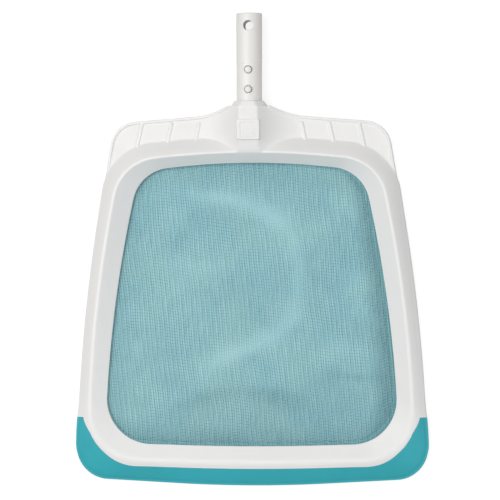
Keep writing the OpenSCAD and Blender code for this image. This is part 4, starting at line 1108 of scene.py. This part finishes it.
def strip(where, low, high):
    """A snap-in strip: flat foot under the hem and a leg whose hook snaps over the bead."""
    s = even_places(low + 0.5, high - 0.5, *STRIDE)
    u, z = np.array([(0.4, 0.8), (0.4, 1.5), (0.7, 1.8), (8.2, 1.8), (8.75, 2.1), (8.75, 4.6), (8.95, 4.9), (9.6, 4.9),
                     (10.2, 4.0), (10.2, 3.7), (9.75, 3.7), (9.75, 0.9), (9.4, 0.5), (0.7, 0.5)]).T
    piece = build("strip_" + where, [loop_part(place(ring(s[:, None]), u, z), capped=True)], inner_plastic, 40)
    settle(piece, "retainer_plastic", "retainer_" + where)


def corner_place(way):
    """Distance round the right half at which the outward direction first points along the given slant."""
    right_s = TABLE_S[:TABLE_STEPS // 2]
    c = ring(right_s)
    return np.interp(way, np.unwrap(-np.arctan2(c["dy"], c["dx"])), right_s)


TOP_CORNER, LOW_CORNER = corner_place(-math.radians(46)), corner_place(math.radians(41))
ENDS = (0, TOP_CORNER, LOW_CORNER, HALF, TURN - LOW_CORNER, TURN - TOP_CORNER, TURN)
for where, low, high in zip(("top_right", "right", "bottom_right", "bottom_left", "left", "top_left"), ENDS, ENDS[1:]):
    strip(where, low, high)


# ---------------------------------------------------------------- net

FOLDS = (       # height, widths left and right of its line, painted light on it (above zero) or painted shade (below zero), and the line's points with their strengths
    (2.4, 11, 11, 1.15, ((-88, 74, 0.2), (-68, 68, 0.5), (-46, 62, 0.9), (-22, 57, 1.0), (-2, 50, 0.8), (18, 40, 1.0),
                         (36, 28, 0.9), (47, 18, 0.3))),
    (1.6, 8, 9, 0.9, ((47, 18, 0.3), (50, -1, 0.6), (52, -14, 1.0), (53, -29, 1.0), (53, -43, 0.7), (51, -57, 0.4),
                      (47, -77, 0.4))),
    (2.4, 10, 11, 1.05, ((47, -77, 0.4), (32, -92, 0.8), (15, -103, 1.0), (-7, -112, 1.0), (-30, -120, 0.9),
                         (-52, -130, 0.5), (-66, -139, 0.1))),
    (1.3, 12, 12, 0.3, ((-124, -14, 0.5), (-80, -16, 1.0), (-35, -19, 1.0), (7, -21, 0.5))),
    (1.8, 7, 13, -0.65, ((-96, -182, 0.3), (-74, -170, 0.8), (-52, -161, 1.0), (-13, -157, 1.0), (32, -160, 1.0),
                         (58, -166, 0.5))),
    (1.3, 10, 10, 0.3, ((72, -122, 0.3), (93, -107, 1.0), (121, -114, 1.0), (143, -114, 0.5))),
    (1.0, 5, 5, -0.8, ((87, -139, 0.3), (121, -142, 1.0), (154, -141, 0.8))),
    (1.1, 8, 8, 0.2, ((110, -52, 0.5), (130, -66, 1.0), (146, -74, 0.5))),
    (0.9, 9, 9, 0.15, ((-146, -80, 0.5), (-120, -70, 1.0), (-96, -62, 0.5))),
)
NET_EDGE = 2.1                  # how far the net reaches out under the frame


def fold_bell(places, fold):
    """Share of one soft fold at each place: a bell over the distance to its line, with its own width on
    either side, times the strength that runs along the line."""
    _, left, right, _, line = fold
    line = np.array(line, float)
    best = np.full(places.shape[:-1], 1e9)
    side, strong = np.zeros_like(best), np.zeros_like(best)
    for a, b in zip(line[:-1], line[1:]):
        span = np.linalg.norm((b - a)[:2])
        way = (b - a)[:2] / span
        along = np.clip((places - a[:2]) @ way, 0, span)
        away = places - a[:2] - along[..., None] * way
        d = np.linalg.norm(away, axis=-1)
        closer = d < best
        side = np.where(closer, np.sign(way[0] * away[..., 1] - way[1] * away[..., 0]), side)
        strong = np.where(closer, mix(a[2], b[2], along / span), strong)
        best = np.where(closer, d, best)
    return strong * np.exp(-(best / np.where(side > 0, left, right)) ** 2)


def net():
    """The net: its four sides are the mouth's edge moved outwards, its inside is blended from them, and its
    height is a slack sag with soft folds, faint wrinkles and small puckers where the hem gathers it."""
    count = 231
    u, v = np.meshgrid(np.linspace(0, 1, count), np.linspace(0, 1, count), indexing="ij")

    def side(low, high):
        """One side as a function of the share t of its length."""
        return lambda t: np.stack(plan(ring(low + (high - low) * t), NET_EDGE), -1)

    top = side(-TOP_CORNER, TOP_CORNER)
    right = side(LOW_CORNER, TOP_CORNER)
    bottom = side(TURN - LOW_CORNER, LOW_CORNER)
    left = side(TURN - LOW_CORNER, TURN - TOP_CORNER)
    zero, one = np.zeros(1), np.ones(1)
    p = (mix(bottom(u), top(u), v[..., None]) + mix(left(v), right(v), u[..., None])
         - mix(mix(bottom(zero), bottom(one), u[..., None]), mix(top(zero), top(one), u[..., None]), v[..., None]))

    wide, long = 300, 316                       # the net's mean size, for rough distances to its sides
    from_left, from_right, from_lip, from_top = u * wide, (1 - u) * wide, v * long, (1 - v) * long
    from_sides, from_ends = np.minimum(from_left, from_right), np.minimum(from_lip, from_top)
    inside = np.minimum(from_sides, from_ends)
    loose = smooth((inside - 12) / 34)
    bells = np.stack([fold_bell(p, f) for f in FOLDS])
    heights, fold_light_and_shade = (np.array([f[k] for f in FOLDS])[:, None, None] for k in (0, 3))
    folds = np.sqrt(((bells * heights) ** 2).sum(0))
    wrinkles = 0.30 * drift(p, 24, 26, 90, 3) + 0.10 * drift(p, 24, 9, 24, 4)
    pucker = 0.22 * (np.exp(-from_ends / 16) * np.sin(p[..., 0] / 2.1 + 1.5 * np.sin(p[..., 0] / 23))
                     + np.exp(-from_sides / 16) * np.sin(p[..., 1] / 2.3 + 1.5 * np.sin(p[..., 1] / 19)))
    z = 2.45 + loose * (folds - 0.75 + wrinkles) + smooth(inside / 5) * (1 - loose) * pucker * 0.8
    grid = np.dstack([p, np.maximum(z, 0.55)])
    pulled = np.stack([drift(p, 12, 60, 160, seed) for seed in (9, 10)], -1)
    cloth_map = (p + smooth(inside / 30)[..., None] * pulled) * MM

    # tone: painted light and shade, lighter on the fold crests and darker in their hollows, darker along the
    # frame's rim and most on the right, and darker towards the lip; a faint random tone over all
    painted_light_and_tone = loose * (bells * fold_light_and_shade).sum(0) + 0.12 * drift(p, 20, 20, 120, 6)
    # painted shade along the frame's rim, where the rim shades the net
    for away, depth, near, width in ((from_right, 1.7, 10, 24), (from_left, 0.35, 8, 24), (from_lip, 0.65, 8, 24),
                                     (from_top, 0.65, 12, 30)):
        painted_light_and_tone -= depth * (1 - smooth((away - near) / width))
    # painted shade close under the rim at the lip end and at the pole end
    painted_light_and_tone -= 0.6 * np.exp(-(from_lip / 9) ** 2) + 0.6 * np.exp(-(from_top / 6) ** 2)
    # painted shade: darker towards the lip
    painted_light_and_tone -= 0.55 * smooth((-135 - p[..., 1] + 0.15 * p[..., 0]) / 75)
    quads = grid_faces(count, count, False, False)[:, ::-1]
    return build("net_sheet", [(grid, quads, [])], net_cloth, 80, painted_light_and_tone, cloth_map, shell=False)


net_piece = settle(net(), "net_cloth", "net")


# ---------------------------------------------------------------- pieces kept from the frame

for node, finish in (("yoke_cover", white_plastic), ("cover_screws", screw_steel), ("tube_screws", screw_steel)):
    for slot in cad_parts[node].material_slots:
        slot.link = "OBJECT"
        slot.material = finish
